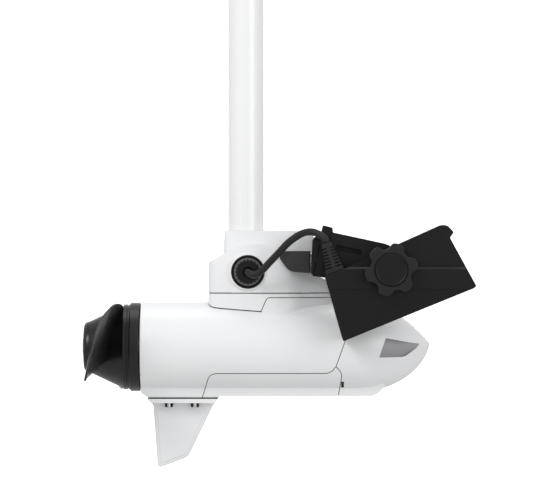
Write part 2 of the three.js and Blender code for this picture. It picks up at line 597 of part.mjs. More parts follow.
// Inside the barrel: end bells, bearings, seals, stator, board
const THROUGH_BOLT_R = 34.2;
const boltPlaces = [THROUGH_BOLT_R, -THROUGH_BOLT_R];
{
  const boltHoles = (r) => boltPlaces.map((y) => rod(r, -120, 60, 'x', 12).translate([0, y, 0]));
  const bellR = CAVITY_R - GAP;
  const rearBell = turned([
    [5.6, -98.9], [5.6, -98.2], [11.3, -98.2], [11.3, -87], [15, -87], [15, -93.5], [bellR, -93.5],
    [bellR, -95], [36, -95], [36, -97.6], [bellR, -97.6], [bellR, -98.9], [5.6, -98.9],
  ], 'x', 32);
  piece('rear_end_bell', ALUMINIUM, cut(rearBell, ...boltHoles(2.1)));
  const cordSection = Array.from({ length: 9 }, (_, i) => {
    const angle = -2 * Math.PI * i / 8;
    return [37.2 + 1.05 * Math.cos(angle), -96.3 + 1.05 * Math.sin(angle)];
  });
  piece('housing_o_ring', RUBBER, turned(cordSection, 'x', 32));
  piece('shaft_seal', RUBBER, ring(10.9, MOTOR_SHAFT_R + 0.3, -97.8, -94.6, 'x', 32));
  piece('rear_bearing', STEEL, ring(10.9, MOTOR_SHAFT_R + 0.3, -94.2, -87.2, 'x', 32));
  const frontBell = turned([
    [11.3, 22], [11.3, 31], [3, 31], [3, 34], [bellR, 34], [bellR, 30], [15, 30], [15, 22], [11.3, 22],
  ], 'x', 32);
  piece('front_end_bell', ALUMINIUM, cut(frontBell, ...boltHoles(2.1)));
  piece('front_bearing', STEEL, ring(10.9, MOTOR_SHAFT_R + 0.3, 22.2, 29.2, 'x', 32));

  const teeth = 12;
  const yoke = ring(bellR, 33.5, -68, 8, 'x', 32);
  const toothBars = Array.from({ length: teeth }, (_, i) =>
    union(box(-68, 8, -2.6, 2.6, 25, 34), box(-68, 8, -5.2, 5.2, 24.6, 26.4))
      .rotate([360 / teeth * (i + 0.5), 0, 0]));
  piece('stator_core', LAMINATION, cut(union(yoke, ...toothBars), ...boltHoles(2.3)));
  const endTurns = [[-80, -68.6], [8.6, 20]].map(([from, to]) => ring(31.4, 26.8, from, to, 'x', 32));
  const slotBars = Array.from({ length: teeth }, (_, i) =>
    box(-68.7, 8.7, -2.9, 2.9, 28, 31.4).rotate([360 / teeth * i, 0, 0]));
  piece('stator_windings', COPPER, union(...endTurns, ...slotBars));

  boltPlaces.forEach((y, i) => {
    const bolt = union(hexagon(3.4, -99.6 - 0.2, -99.2, 'x'), rod(1.8, -99.3, 37, 'x', 12),
      hexagon(3.6, 34.4, 37.4, 'x'));
    piece(`through_bolt_${i + 1}`, STEEL, bolt.translate([0, y, 0]));
  });
  const spreader = union(ring(24, 12, 34.6, 38, 'x', 32), box(37.8, 60, -14, 14, -20, -16),
    box(37, 38.4, -14, 14, -21, -16));
  piece('heat_spreader', ALUMINIUM, spreader);
  piece('controller_board', BOARD, box(42, 78, -17, 17, -15.6, -14));
}

// Everything that turns with the propeller
{
  const pinHole = rod(2.05, -30, 30, 'z', 12).translate([-107.5, 0, 0]);
  const shaft = turned([
    [0, 29], [MOTOR_SHAFT_R, 29], [MOTOR_SHAFT_R, -146.4], [4, -147.4], [4, -152.4], [0, -153],
  ], 'x', 32);
  piece('prop_shaft', STEEL, cut(shaft, pinHole));
  piece('drive_pin', STEEL, rod(1.9, -10, 10, 'z', 12).translate([-107.5, 0, 0]));
  piece('rotor_core', LAMINATION, ring(20, MOTOR_SHAFT_R + 0.1, -66, 6, 'x', 32));
  piece('rotor_magnets', MAGNET, ring(23.6, 20.3, -66, 6, 'x', 32));
  piece('prop_washer', STEEL, ring(11, 5.4, -148.3, -147.3, 'x', 32));
  const nut = turned([[0, -148.6], [9.4, -148.6], [9.4, -154.6], [8, -155.7], [0, -155.7]], 'x', 6);
  piece('prop_nut', STEEL, cut(nut, rod(4.3, -154, -140, 'x')));

  const { front, r, ringR, coneX, coneR, tailX, tailR } = HUB;
  const hubProfile = [
    [39, front], [r - 0.6, front], [r, front - 0.6], [r, -109.6], [ringR, -110], [ringR, -111.6],
    [ringR - 0.8, -111.8], [ringR - 0.8, -112.6], [ringR, -112.8], [ringR, coneX + 0.4], [coneR, coneX],
    [tailR, tailX], [23, -152.8], [21.2, -154.4], [16, -154.4], [16, -147], [MOTOR_SHAFT_R + 0.1, -147],
    [MOTOR_SHAFT_R + 0.1, -104.5], [11, -104.5], [11, -140.5], [23, -142.5], [36, -117.2], [37.6, -114.5],
    [37.6, -110], [39, -108.5], [39, front],
  ];
  const hub = turned(hubProfile, 'x', 40);
  const hollow = turned([
    [0, front + 5], [39, front + 5], [39, -108.5], [37.6, -110], [37.6, -114.5], [36, -117.2],
    [23, -142.5], [0, -142.5],
  ], 'x', 40);
  const ribs = Array.from({ length: 6 }, (_, i) => {
    const rib = prism('side', [[-112, 10.5], [-112, 38], [-117, 37.5], [-143, 24], [-143, 10.5]], -1.2, 1.2);
    return rib.rotate([60 * i + 30, 0, 0]);
  });
  const pinSlot = box(-110, front + 5, -2.3, 2.3, -20, 20);
  const blades = [0, 180].map((turn) => cut(blade(), hollow).rotate([turn, 0, 0]));
  const boreClear = rod(15.9, -160, -147, 'x', 32);
  piece('propeller', HUB_BLACK, cut(union(hub, ...ribs, ...blades), pinSlot, boreClear));
}

// A blade as a sheet from the leading to the trailing edge: [radius, x, angle above level in degrees]
function blade() {
  const leading = [[21, -116.5, 78], [38, -117.5, 76], [50, -119.5, 56], [62, -121.7, 42.6], [80, -126, 28.8],
    [95, -131.5, 19], [110, -137, 8.9], [125, -141.5, -1.4], [135, -143.6, -7.6], [140, -144.5, -10]];
  const trailing = [[21, -138, -46], [28, -140, -40], [45, -141.5, -27.8], [65, -143, -19.8],
    [90, -144, -15.1], [115, -144.8, -12.4], [135, -145.2, -10.9], [140, -145.2, -10.8]];
  const along = (edge, r) => {
    const next = Math.max(edge.findIndex(([radius]) => radius >= r), 1);
    const [r0, x0, a0] = edge[next - 1];
    const [r1, x1, a1] = edge[next];
    const t = (r - r0) / (r1 - r0);
    return [x0 + t * (x1 - x0), a0 + t * (a1 - a0)];
  };
  const across = 7;
  const rings = [21, 29, 38, 50, 64, 80, 95, 110, 125, 135, 140].map((r) => {
    const [x0, a0] = along(leading, r);
    const [x1, a1] = along(trailing, r);
    const thick = THREE.MathUtils.lerp(BLADE_ROOT_T, BLADE_TIP_T, (r - 21) / 119);
    const point = (s, side) => {
      const angle = THREE.MathUtils.degToRad(a0 + s ** 0.9 * (a1 - a0));
      const chord = new THREE.Vector3(x1 - x0, 0, 0)
        .addScaledVector(new THREE.Vector3(0, Math.sin(angle), Math.cos(angle)),
          r * THREE.MathUtils.degToRad(a1 - a0))
        .normalize();
      const radial = new THREE.Vector3(0, -Math.cos(angle), Math.sin(angle));
      const normal = new THREE.Vector3().crossVectors(chord, radial);
      const half = thick / 2 * (0.22 + 0.78 * Math.sin(Math.PI * Math.min(Math.max(s, 0.02), 0.98)) ** 0.6);
      return new THREE.Vector3(x0 + s * (x1 - x0), 0, 0)
        .addScaledVector(radial, r)
        .addScaledVector(normal, side * half);
    };
    const steps = Array.from({ length: across }, (_, i) => i / (across - 1));
    return [...steps.map((s) => point(s, 1)), ...steps.toReversed().map((s) => point(s, -1))];
  });
  return loft(rings);
}

export default motor;
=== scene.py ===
import math

import bmesh
import bpy
from mathutils import Matrix, Vector


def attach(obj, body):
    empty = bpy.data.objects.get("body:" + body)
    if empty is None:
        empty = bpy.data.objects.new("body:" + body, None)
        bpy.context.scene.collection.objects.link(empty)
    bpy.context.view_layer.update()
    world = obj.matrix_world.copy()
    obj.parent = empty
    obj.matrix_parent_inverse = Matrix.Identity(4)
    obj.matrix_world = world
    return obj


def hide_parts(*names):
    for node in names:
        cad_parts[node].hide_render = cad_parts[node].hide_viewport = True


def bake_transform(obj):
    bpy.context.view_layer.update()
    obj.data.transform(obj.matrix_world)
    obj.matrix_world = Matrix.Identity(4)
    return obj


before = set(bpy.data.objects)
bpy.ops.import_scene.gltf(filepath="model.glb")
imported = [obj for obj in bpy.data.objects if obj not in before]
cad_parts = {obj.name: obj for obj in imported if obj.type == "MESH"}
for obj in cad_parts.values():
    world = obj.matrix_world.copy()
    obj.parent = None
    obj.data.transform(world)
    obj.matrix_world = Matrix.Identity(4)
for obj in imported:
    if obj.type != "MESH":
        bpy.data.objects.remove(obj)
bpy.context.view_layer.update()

# Frame. The origin is the middle of the shaft's top face. Pieces are drawn about the motor's own
# axis, which lies DROP below it: +X to the nose cone, +Z up the shaft, -Y to starboard.
MM = 0.001
DROP = -355 * MM


def at(x, y, z):
    """A place in the row frame, from millimetres about the motor's axis."""
    return Vector((x * MM, y * MM, z * MM + DROP))


# Camera. It stands 2.9 m off to starboard, level with the bracket, and frames the lower unit and
# about 200 mm of shaft.
STAND_OFF = 2900
VIEW_WIDTH = 530
SENSOR = 36
camera = bpy.data.objects.new("camera", bpy.data.cameras.new("camera"))
bpy.context.collection.objects.link(camera)
camera.location = at(30.1, -STAND_OFF, 102.9)
camera.rotation_euler = (math.radians(90), 0, 0)
camera.data.sensor_width = SENSOR
camera.data.lens = SENSOR * STAND_OFF / VIEW_WIDTH
camera.data.clip_end = 50
bpy.context.scene.camera = camera
bpy.context.scene.view_settings.view_transform = "Standard"

# Transducer cable. A 6.8 mm polyurethane-jacketed cable leaves the gland's seal, turns forward and
# up, arches over the bracket and goes down into the boot on the transducer.
CABLE_R = 3.4
CABLE_ROUTE = [
    (2.1, -21, 71.8), (2.1, -30, 71.8), (2.1, -35.5, 71.8), (3.9, -40.6, 70.4), (9.4, -44.4, 69.2),
    (15.5, -47, 73.4), (23.1, -50, 81.4), (31.5, -54, 90.2), (39.9, -58, 99.1), (47.9, -62, 105.1),
    (54.8, -66, 108.6), (62.2, -71, 109.5), (67.8, -75, 107.8), (72, -78, 105.2),
    (74.2, -79, 102.6), (75, -79, 100.2),
]
cable_curve = bpy.data.curves.new("cable", "CURVE")
cable_curve.dimensions = "3D"
cable_curve.bevel_depth = CABLE_R * MM
cable_curve.bevel_resolution = 6
cable_curve.resolution_u = 10
cable_curve.use_fill_caps = True
spline = cable_curve.splines.new("BEZIER")
spline.bezier_points.add(len(CABLE_ROUTE) - 1)
for point, place in zip(spline.bezier_points, CABLE_ROUTE):
    point.co = at(*place)
    point.handle_left_type = point.handle_right_type = "AUTO"
cable_line = bpy.data.objects.new("cable_line", cable_curve)
bpy.context.collection.objects.link(cable_line)


def evaluated_mesh(drawn):
    """The mesh that an object shows, with its modifiers or its curve's roundness applied."""
    return bpy.data.meshes.new_from_object(drawn.evaluated_get(bpy.context.evaluated_depsgraph_get()))


cable = bpy.data.objects.new("sonar_cable", evaluated_mesh(cable_line))
bpy.context.collection.objects.link(cable)
cable.data.shade_smooth()
cable_curve.bevel_depth = 0
cable_path = [vertex.co.copy() for vertex in evaluated_mesh(cable_line).vertices]
bpy.data.objects.remove(cable_line)
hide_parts("transducer_cable")
tuple(at(2.1, -38, 71.8))
tuple(at(72, -78, 105))
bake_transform(cable)

# Studio. A pale floor and a lit white backdrop, inside a soft white tent, with a large lamp to the
# upper left and a weaker one to the right.
FLOOR_Z = -0.9
FLOOR_REACH = 6
BACKDROP_Y = 3.4
BACKDROP_REACH, BACKDROP_TOP = 1.6, 1.2
AIM = Vector((0.03, 0, -0.3))


def paper_sheet(name, corners, tone, glow):
    """A flat sheet of the studio's paper."""
    sheet = bpy.data.meshes.new(name)
    sheet.from_pydata(corners, [], [(0, 1, 2, 3)])
    placed = bpy.data.objects.new(name, sheet)
    bpy.context.collection.objects.link(placed)
    paper = bpy.data.materials.new(name)
    paper.use_nodes = True
    coated = paper.node_tree.nodes["Principled BSDF"]
    coated.inputs["Base Color"].default_value = (tone, tone, tone, 1)
    coated.inputs["Roughness"].default_value = 0.9
    coated.inputs["Emission Color"].default_value = (1, 1, 1, 1)
    coated.inputs["Emission Strength"].default_value = glow
    sheet.materials.append(paper)


paper_sheet("floor", [
    (-FLOOR_REACH, -FLOOR_REACH, FLOOR_Z), (FLOOR_REACH, -FLOOR_REACH, FLOOR_Z),
    (FLOOR_REACH, BACKDROP_Y, FLOOR_Z), (-FLOOR_REACH, BACKDROP_Y, FLOOR_Z),
], tone=0.6, glow=0)
paper_sheet("backdrop", [
    (-BACKDROP_REACH, BACKDROP_Y, FLOOR_Z), (BACKDROP_REACH, BACKDROP_Y, FLOOR_Z),
    (BACKDROP_REACH, BACKDROP_Y, BACKDROP_TOP), (-BACKDROP_REACH, BACKDROP_Y, BACKDROP_TOP),
], tone=0.5, glow=1)

LIGHTS = [
    # name, place, size, watts
    ("key", (-1.3, -1.7, 1.1), 0.9, 21),
    ("fill", (1.6, -1.9, 0.2), 1.4, 13),
    ("top", (0.1, 0.2, 1.9), 1.2, 7),
]
for name, place, size, watts in LIGHTS:
    data = bpy.data.lights.new(name, "AREA")
    data.size = size
    data.energy = watts
    lamp = bpy.data.objects.new(name, data)
    bpy.context.collection.objects.link(lamp)
    lamp.location = place
    lamp.rotation_euler = (AIM - lamp.location).to_track_quat("-Z", "Y").to_euler()
world = bpy.data.worlds.new("studio")
bpy.context.scene.world = world
world.use_nodes = True
world.node_tree.nodes["Background"].inputs["Color"].default_value = (1, 1, 1, 1)
world.node_tree.nodes["Background"].inputs["Strength"].default_value = 0.72


# Motor housing, bottom cover and nose cone. Three mouldings of glass-filled nylon with a satin
# white coat, parted by 0.7 mm seams; the keel and the pylon are moulded on the housing.
class Wire:
    """One output socket of a material, with arithmetic."""

    def __init__(self, tree, socket=None):
        self.tree = tree
        self.socket = socket

    def node(self, kind, settings=None, out=0, **inputs):
        """A new node of a kind; an input is named, or is _ and its number."""
        made = self.tree.nodes.new("ShaderNode" + kind)
        for name, value in (settings or {}).items():
            setattr(made, name, value)
        for name, value in inputs.items():
            key = int(name[1:]) if name[0] == "_" else name.replace("_", " ")
            if isinstance(value, Wire):
                self.tree.links.new(value.socket, made.inputs[key])
            else:
                made.inputs[key].default_value = value
        return Wire(self.tree, made.outputs[out])

    def math(self, operation, first, second):
        return self.node("Math", {"operation": operation}, _0=first, _1=second)

    def __add__(self, other):
        return self.math("ADD", self, other)

    def __radd__(self, other):
        return self.math("ADD", other, self)

    def __mul__(self, other):
        return self.math("MULTIPLY", self, other)

    def __rmul__(self, other):
        return self.math("MULTIPLY", other, self)

    def blend(self, low, high):
        """A colour from low, where this is 0, to high, where it is 1."""
        return self.node("Mix", {"data_type": "RGBA"}, out=2, _0=self, _6=low, _7=high)


def surface(name, color, roughness, normal, **fixed):
    """A finished material: three functions of a wire give what varies, and fixed is even all over."""
    made = bpy.data.materials.new(name)
    made.use_nodes = True
    tree = made.node_tree
    shader = tree.nodes["Principled BSDF"]
    wire = Wire(tree)
    for socket, varied in (("Base Color", color), ("Roughness", roughness), ("Normal", normal)):
        tree.links.new(varied(wire).socket, shader.inputs[socket])
    for socket, value in fixed.items():
        shader.inputs[socket.replace("_", " ")].default_value = value
    return made


def noise(wire, scale, detail, stretch=(1, 1, 1)):
    """Soft mottling in the piece's own place, drawn out where stretch is small."""
    place = wire.node("TexCoord", out=3)
    place = wire.node("Mapping", _0=place, Scale=stretch)
    return wire.node("TexNoise", Vector=place, Scale=scale, Detail=detail)


def bumped(height, depth):
    return height.node("Bump", Height=height, Distance=depth, Strength=1.0)


white_plastic = surface(
    "white_plastic",
    lambda w: noise(w, 14, 3).blend((0.80, 0.81, 0.82, 1), (0.86, 0.865, 0.87, 1)),
    lambda w: 0.27 + 0.1 * noise(w, 60, 4),
    lambda w: bumped(noise(w, 900, 2) + 0.4 * noise(w, 220, 2), 0.00003),
    Coat_Weight=0.25, Coat_Roughness=0.16,
)


def closed(points, faces):
    """A closed mesh from millimetres about the motor's axis."""
    drawn = bmesh.new()
    corners = [drawn.verts.new(at(*point)) for point in points]
    for face in faces:
        drawn.faces.new([corners[i] for i in face])
    bmesh.ops.recalc_face_normals(drawn, faces=drawn.faces)
    mesh = bpy.data.meshes.new("drawn")
    drawn.to_mesh(mesh)
    drawn.free()
    return mesh


def loft(rings):
    """A skin over rings of equal count, closed by a flat face at each end."""
    count = len(rings[0])
    faces = [
        (s * count + i, s * count + (i + 1) % count, (s + 1) * count + (i + 1) % count, (s + 1) * count + i)
        for s in range(len(rings) - 1) for i in range(count)
    ]
    last = (len(rings) - 1) * count
    return closed([point for ring in rings for point in ring],
                  faces + [tuple(range(count)), tuple(range(last, last + count))])


def rounded(points, steps=6):
    """A closed outline from corners of (across, up) or (across, up, radius)."""
    line = []
    for i, corner in enumerate(points):
        here = Vector(corner[:2])
        radius = corner[2] if len(corner) > 2 else 0
        back = Vector(points[i - 1][:2]) - here
        on = Vector(points[(i + 1) % len(points)][:2]) - here
        reach = min(radius, 0.45 * back.length, 0.45 * on.length)
        if reach == 0:
            line.append(tuple(here))
            continue
        first, last = here + back.normalized() * reach, here + on.normalized() * reach
        for k in range(steps + 1):
            t = k / steps
            line.append(tuple((1 - t) ** 2 * first + 2 * t * (1 - t) * here + t ** 2 * last))
    return line


PLANES = {
    "side": lambda a, b, depth: (a, depth, b),
    "plan": lambda a, b, depth: (a, b, depth),
    "end": lambda a, b, depth: (depth, a, b),
}


def prism(plane, points, start, end):
    """A straight solid of an outline seen from the side (x, z), in plan (x, y) or from the end (y, z)."""
    line = rounded(points)
    return loft([[PLANES[plane](a, b, depth) for a, b in line] for depth in (start, end)])


AXES = {
    "x": lambda r, h, c, s: (h, r * c, r * s),
    "z": lambda r, h, c, s: (r * c, r * s, h),
    "out": lambda r, h, c, s: (r * c, -h, r * s),
}


def turned(profile, axis, centre=(0, 0, 0), segments=128):
    """A turned solid of (radius, distance): closed on the axis, or a ring if it ends where it began."""
    ring = profile[0] == profile[-1]
    stations = profile[:-1] if ring else profile
    points, rows = [], []
    for radius, height in stations:
        row = []
        for k in range(1 if radius == 0 else segments):
            turn = 2 * math.pi * k / segments
            place = AXES[axis](radius, height, math.cos(turn), math.sin(turn))
            row.append(len(points))
            points.append(tuple(a + b for a, b in zip(place, centre)))
        rows.append(row)
    faces = []
    for i in range(len(rows) if ring else len(rows) - 1):
        low, high = rows[i], rows[(i + 1) % len(rows)]
        for k in range(segments):
            m = (k + 1) % segments
            corners = [low[k % len(low)], low[m % len(low)], high[m % len(high)], high[k % len(high)]]
            faces.append(tuple(dict.fromkeys(corners)))
    return closed(points, [face for face in faces if len(face) > 2])


def rod(radius, start, end, axis, centre=(0, 0, 0), segments=64):
    """A round bar or a bore's cutter between two distances along an axis."""
    return turned([(0, start), (radius, start), (radius, end), (0, end)], axis, centre, segments)


def shaped(operation, body, *tools):
    """The body after the boolean operation with each tool in turn."""
    for tool in tools:
        kept, other = bpy.data.objects.new("kept", body), bpy.data.objects.new("other", tool)
        bpy.context.collection.objects.link(kept)
        bpy.context.collection.objects.link(other)
        step = kept.modifiers.new("step", "BOOLEAN")
        step.operation = operation
        step.solver = "MANIFOLD"
        step.object = other
        body = evaluated_mesh(kept)
        bpy.data.objects.remove(kept)
        bpy.data.objects.remove(other)
    return body


def union(body, *tools):
    return shaped("UNION", body, *tools)


def cut(body, *tools):
    return shaped("DIFFERENCE", body, *tools)


def within(body, *tools):
    return shaped("INTERSECT", body, *tools)


def about_motor(mesh, change):
    """A copy of the solid, changed about the motor's own axis."""
    other = mesh.copy()
    other.transform(Matrix.Translation((0, 0, DROP)) @ change @ Matrix.Translation((0, 0, -DROP)))
    return other


def mirrored(mesh):
    """The same solid on the port side."""
    other = mesh.copy()
    other.transform(Matrix.Diagonal((1, -1, 1, 1)))
    other.flip_normals()
    return other


def rounded_edges(piece, width, segments, angle=32):
    """A bevel on every edge sharper than an angle in degrees."""
    edges = piece.modifiers.new("edges", "BEVEL")
    edges.width = width * MM
    edges.segments = segments
    edges.limit_method = "ANGLE"
    edges.angle_limit = math.radians(angle)


SMOOTH = math.radians(12)
COPLANAR = math.radians(0.6)


def fit(name, mesh, finish, node, body="lower_unit", edge=0.4, segments=3, angle=32, smooth=SMOOTH):
    """A finished piece in place of the model's own, on the same body."""
    piece = bpy.data.objects.new(name, mesh)
    bpy.context.collection.objects.link(piece)
    rounded_edges(piece, edge, segments, angle)
    piece.data = evaluated_mesh(piece)
    piece.modifiers.clear()
    piece.data.materials.clear()
    piece.data.materials.append(finish)
    piece.data.shade_smooth()
    piece.data.set_sharp_from_angle(angle=smooth)
    if node:
        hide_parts(node)
    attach(piece, body)


def dress(finish, *names, edge=0.3):
    """The model's own pieces, with their finish, rounded edges and smooth shading."""
    for name in names:
        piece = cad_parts[name]
        piece.data.materials.clear()
        piece.data.materials.append(finish)
        flat = piece.modifiers.new("flat faces", "DECIMATE")
        flat.decimate_type = "DISSOLVE"
        flat.angle_limit = COPLANAR
        piece.data.shade_smooth()
        rounded_edges(piece, edge, 2)
        piece.modifiers.new("normals", "WEIGHTED_NORMAL").keep_sharp = True


SEAM = 0.7
WIDE = 60
MEETING = (85.2, -17.4)
TRAY_LINE = [
    (-42, -60), (-41.3, -47.8), (-35.4, -28.9), (-32.8, -25.6), (-28.4, -24.1), (74.5, -24), (78, -23.6),
    (82, -21.4), MEETING,
]
NOSE_LINE = [MEETING, (93.3, 5.5), (107, 42.9), (111.6, 56)]
CHIN_LINE = [MEETING, (88.9, -21.3), (90.8, -25.3), (90.2, -31.3), (88.8, -40.4), (87.8, -46.1), (86, -60)]
SADDLE_LINE = [(14.9, 20), (14.9, 35.1), (19, 44.6), (20.4, 46.8), (23, 47.4), (100, 47.4)]


def ribbon(line, width):
    """A closed outline of even width along a line."""
    sides = [[], []]
    for i, (a, b) in enumerate(line):
        before, after = Vector(line[max(i - 1, 0)]), Vector(line[min(i + 1, len(line) - 1)])
        along = (after - before).normalized()
        for side, turn in zip(sides, (1, -1)):
            side.append((a - turn * along.y * width / 2, b + turn * along.x * width / 2))
    return sides[0] + sides[1][::-1]


def region(points):
    """All that lies inside an outline seen from the side."""
    return prism("side", points, -WIDE, WIDE)


BARREL_R = 42.9
NOSE_BASE = 107
NOSE_LENGTH = 68.2
NOSE_STEPS = 36
TIP_Z = 3.5


def nose_ring(u, count=128):
    """The body's section, from the end of the straight barrel at 0 to the tip at 1."""
    top = TIP_Z + (BARREL_R - TIP_Z) * (1 - u ** 2.1)
    bottom = TIP_Z - (BARREL_R + TIP_Z) * (1 - u ** 2) ** 0.6
    middle = TIP_Z * u
    half = BARREL_R * (1 - u ** 2.1) + 0.5 * u
    ring = []
    for k in range(count):
        turn = 2 * math.pi * k / count
        height = top - middle if math.sin(turn) > 0 else middle - bottom
        ring.append((NOSE_BASE + NOSE_LENGTH * u, half * math.cos(turn), middle + height * math.sin(turn)))
    return ring


def barrel_ring(x, radius):
    return [(x, y * radius / BARREL_R, z * radius / BARREL_R) for _, y, z in nose_ring(0)]


barrel = [barrel_ring(-99.8, 41.9), barrel_ring(-99.6, 42.5), barrel_ring(-99, BARREL_R)]
barrel += [barrel_ring(x, BARREL_R) for x in (-60, -20, 20, 60)]
barrel += [nose_ring(math.sin(math.pi / 2 * k / NOSE_STEPS)) for k in range(NOSE_STEPS)]
keel = within(
    prism("end", [(-20.5, -34), (-17.5, -47.8, 2), (17.5, -47.8, 2), (20.5, -34)], -99.8, 137),
    region([(-99.4, -34), (-99.4, -43.1, 1.5), (-92.8, -47.8, 1.5), (-26, -47.8), (-24.5, -46.3),
            (123, -46.3, 6), (132.5, -36.4), (131, -34)]),
)


def catmull(points, steps):
    """A smooth line through points, as even steps between each two."""
    line = []
    for i in range(len(points) - 1):
        p0, p1 = Vector(points[max(i - 1, 0)]), Vector(points[i])
        p2, p3 = Vector(points[i + 1]), Vector(points[min(i + 2, len(points) - 1)])
        for k in range(steps):
            t = k / steps
            line.append(tuple(0.5 * (2 * p1 + (p2 - p0) * t + (2 * p0 - 5 * p1 + 4 * p2 - p3) * t ** 2
                                     + (3 * p1 - p0 - 3 * p2 + p3) * t ** 3)))
    return line + [tuple(points[-1])]


def neck_plan(inset=0):
    """The saddle, the pylon and the lower neck share one plan, given its inset."""
    right = catmull([(-35.9 + inset, 11), (-34.6, 17), (-29.7, 21.3), (-15, 23.8), (13, 26.8), (30, 27.3),
                     (45, 24.4), (60, 18.8), (79 - inset, 13), (85 - inset, 5)], 8)
    right = [(x, y - inset) for x, y in right]
    return right + [(x, -y) for x, y in reversed(right)]


FILLET_R = 25
FILLET_TOP, FILLET_FOOT = 43.06, 27.5


def pylon_ring(z):
    """The pylon's plan at a height, with its concave foot."""
    down = min(FILLET_TOP - min(z, FILLET_TOP), FILLET_TOP - FILLET_FOOT)
    growth = FILLET_R - math.sqrt(FILLET_R ** 2 - down ** 2)
    ring = []
    for x, y in neck_plan():
        share = min(max((x - 14) / 30, 0), 1)
        spread = growth * share * share * (3 - 2 * share)
        ring.append((x + (spread if x > 70 else 0), y + math.copysign(spread, y), z))
    return ring


SPLIT_Z = 51.8
PYLON_LEVELS = (20, FILLET_FOOT, 29, 30.5, 32, 34, 36, 38, 40, 42, FILLET_TOP, 47.4)
pylon = union(prism("plan", neck_plan(), 40, SPLIT_Z), loft([pylon_ring(z) for z in PYLON_LEVELS]))
pylon = cut(within(pylon, region(SADDLE_LINE + [(100, 20)])), region(ribbon(SADDLE_LINE, SEAM)))
cavity = turned([(0, -104), (38.6, -104), (38.6, 104), (30, 119), (0, 119)], "x", segments=96)
NECK_BOLTS = [
    # x, y, foot of the hole, seat of the head
    (48, -14, 44.5, 104),
    (48, 14, 44.5, 104),
    (-27.5, 0, 45, 76),
]


def neck_bolt_holes():
    """Each bolt's clearance hole with its counterbore."""
    holes = []
    for x, y, foot, seat in NECK_BOLTS:
        profile = [(0, foot), (2.6, foot), (2.6, seat), (5.4, seat), (5.4, 120), (0, 120)]
        holes.append(turned(profile, "z", (x, y, 0), 32))
    return holes


def barrel_cutter(clearance, segments=128):
    return rod(BARREL_R + clearance, -110, 110, "x", segments=segments)


def harness_hole():
    """The way for the wires from the shaft into the housing."""
    return rod(8, 30, 60, "z", (49, 0, 0))


body = union(loft(barrel), keel)
shell = cut(union(body, pylon), cavity,
            *[region(ribbon(line, SEAM)) for line in (TRAY_LINE, NOSE_LINE, CHIN_LINE)])


def islands(mesh):
    """The separate solids of a mesh."""
    left = set(range(len(mesh.vertices)))
    joined = {k: [] for k in left}
    for edge in mesh.edges:
        a, b = edge.vertices
        joined[a].append(b)
        joined[b].append(a)
    found = []
    while left:
        island, front = set(), [min(left)]
        while front:
            k = front.pop()
            if k not in island:
                island.add(k)
                front.extend(joined[k])
        left -= island
        part = bmesh.new()
        part.from_mesh(mesh)
        part.verts.ensure_lookup_table()
        bmesh.ops.delete(part, geom=[v for v in part.verts if v.index not in island], context="VERTS")
        alone = bpy.data.meshes.new("part")
        part.to_mesh(alone)
        part.free()
        found.append(alone)
    return found


parts = sorted(islands(shell), key=lambda part: min(v.co.x for v in part.vertices))
housing_part, tray_part = parts[:2]
nose_part = max(parts, key=lambda part: max(v.co.x for v in part.vertices))
recess = within(
    region([(132.2, 9.5), (125.8, -8.9), (150.2, -8.7, 3), (162.6, -0.2, 3), (165, 3.4), (155.3, 4.8)]),
    prism("plan", [(118, -WIDE), (118, -30.5), (127, -28), (165, -14), (172, -WIDE)], -20, 20),
)
SKEG_BOLTS = [(-73.2, -11), (-73.2, 11), (-48.5, -11), (-48.5, 11)]
SKEG_BOLT_HOLE_R = 2.4


def skeg_bolt_holes(radius, foot, top, segments=24):
    return [rod(radius, foot, top, "z", (x, y, 0), segments) for x, y in SKEG_BOLTS]


housing = cut(housing_part, harness_hole(), *skeg_bolt_holes(SKEG_BOLT_HOLE_R, -60, -42.5),
              *neck_bolt_holes())
fit("housing_barrel", housing, white_plastic, "motor_housing")
fit("housing_bottom", tray_part, white_plastic, "bottom_cover")
notch = prism("side", [(90.4, -38), (93, -38), (93, -32), (90.4, -32)], -WIDE, WIDE)
fit("housing_nose", cut(nose_part, recess, mirrored(recess), notch), white_plastic, "nose_cone")

# Nose recess shade. A thin grey sheet lies on the floor of each of the two scooped recesses of the nose
# and paints shade there: a flat, darker floor.
recess_shade_grey = surface(
    "recess_shade_grey",
    lambda w: noise(w, 40, 3).blend((0.30, 0.30, 0.31, 1), (0.36, 0.36, 0.37, 1)),
    lambda w: 0.4 + 0.1 * noise(w, 90, 3),
    lambda w: bumped(noise(w, 1200, 2), 0.00004),
)
# Painted shade: a darker grey sheet on the floor of each nose recess.
recess_shade_sheet = within(recess, prism("plan", [
    (118, -30.3), (118, -31.1), (127, -28.6), (165, -14.6), (165, -13.8), (127, -27.8),
], -20, 20))
fit("nose_recess_shade_starboard", recess_shade_sheet, recess_shade_grey, None, edge=0.1, segments=1)
fit("nose_recess_shade_port", mirrored(recess_shade_sheet), recess_shade_grey, None, edge=0.1, segments=1)

# Seam gaskets. A thin black rubber lip lies just inside the seams of the three mouldings, and another
# under the saddle where it meets the barrel. A thin black sheet on the barrel under the saddle's foot is
# painted shade, the dark contact line there, and a black fill sunk in the chin's notch is painted shade.
rubber = surface(
    "rubber",
    lambda w: noise(w, 60, 4).blend((0.008, 0.008, 0.0085, 1), (0.016, 0.016, 0.0165, 1)),
    lambda w: 0.38 + 0.2 * noise(w, 110, 3),
    lambda w: bumped(noise(w, 700, 3), 0.00004),
    Specular_IOR_Level=0.3,
)
cable.data.materials.append(rubber)
RUBBER_FILL_DEPTH = 0.965
GASKET_WIDTH = SEAM + 0.02


def gasket(name, mesh):
    """A black rubber piece that is there to be seen, as a seam's lip and also as painted shade: the model
    has no solid of its own for it.
    """
    fit(name, mesh, rubber, None, edge=0.05, segments=1)


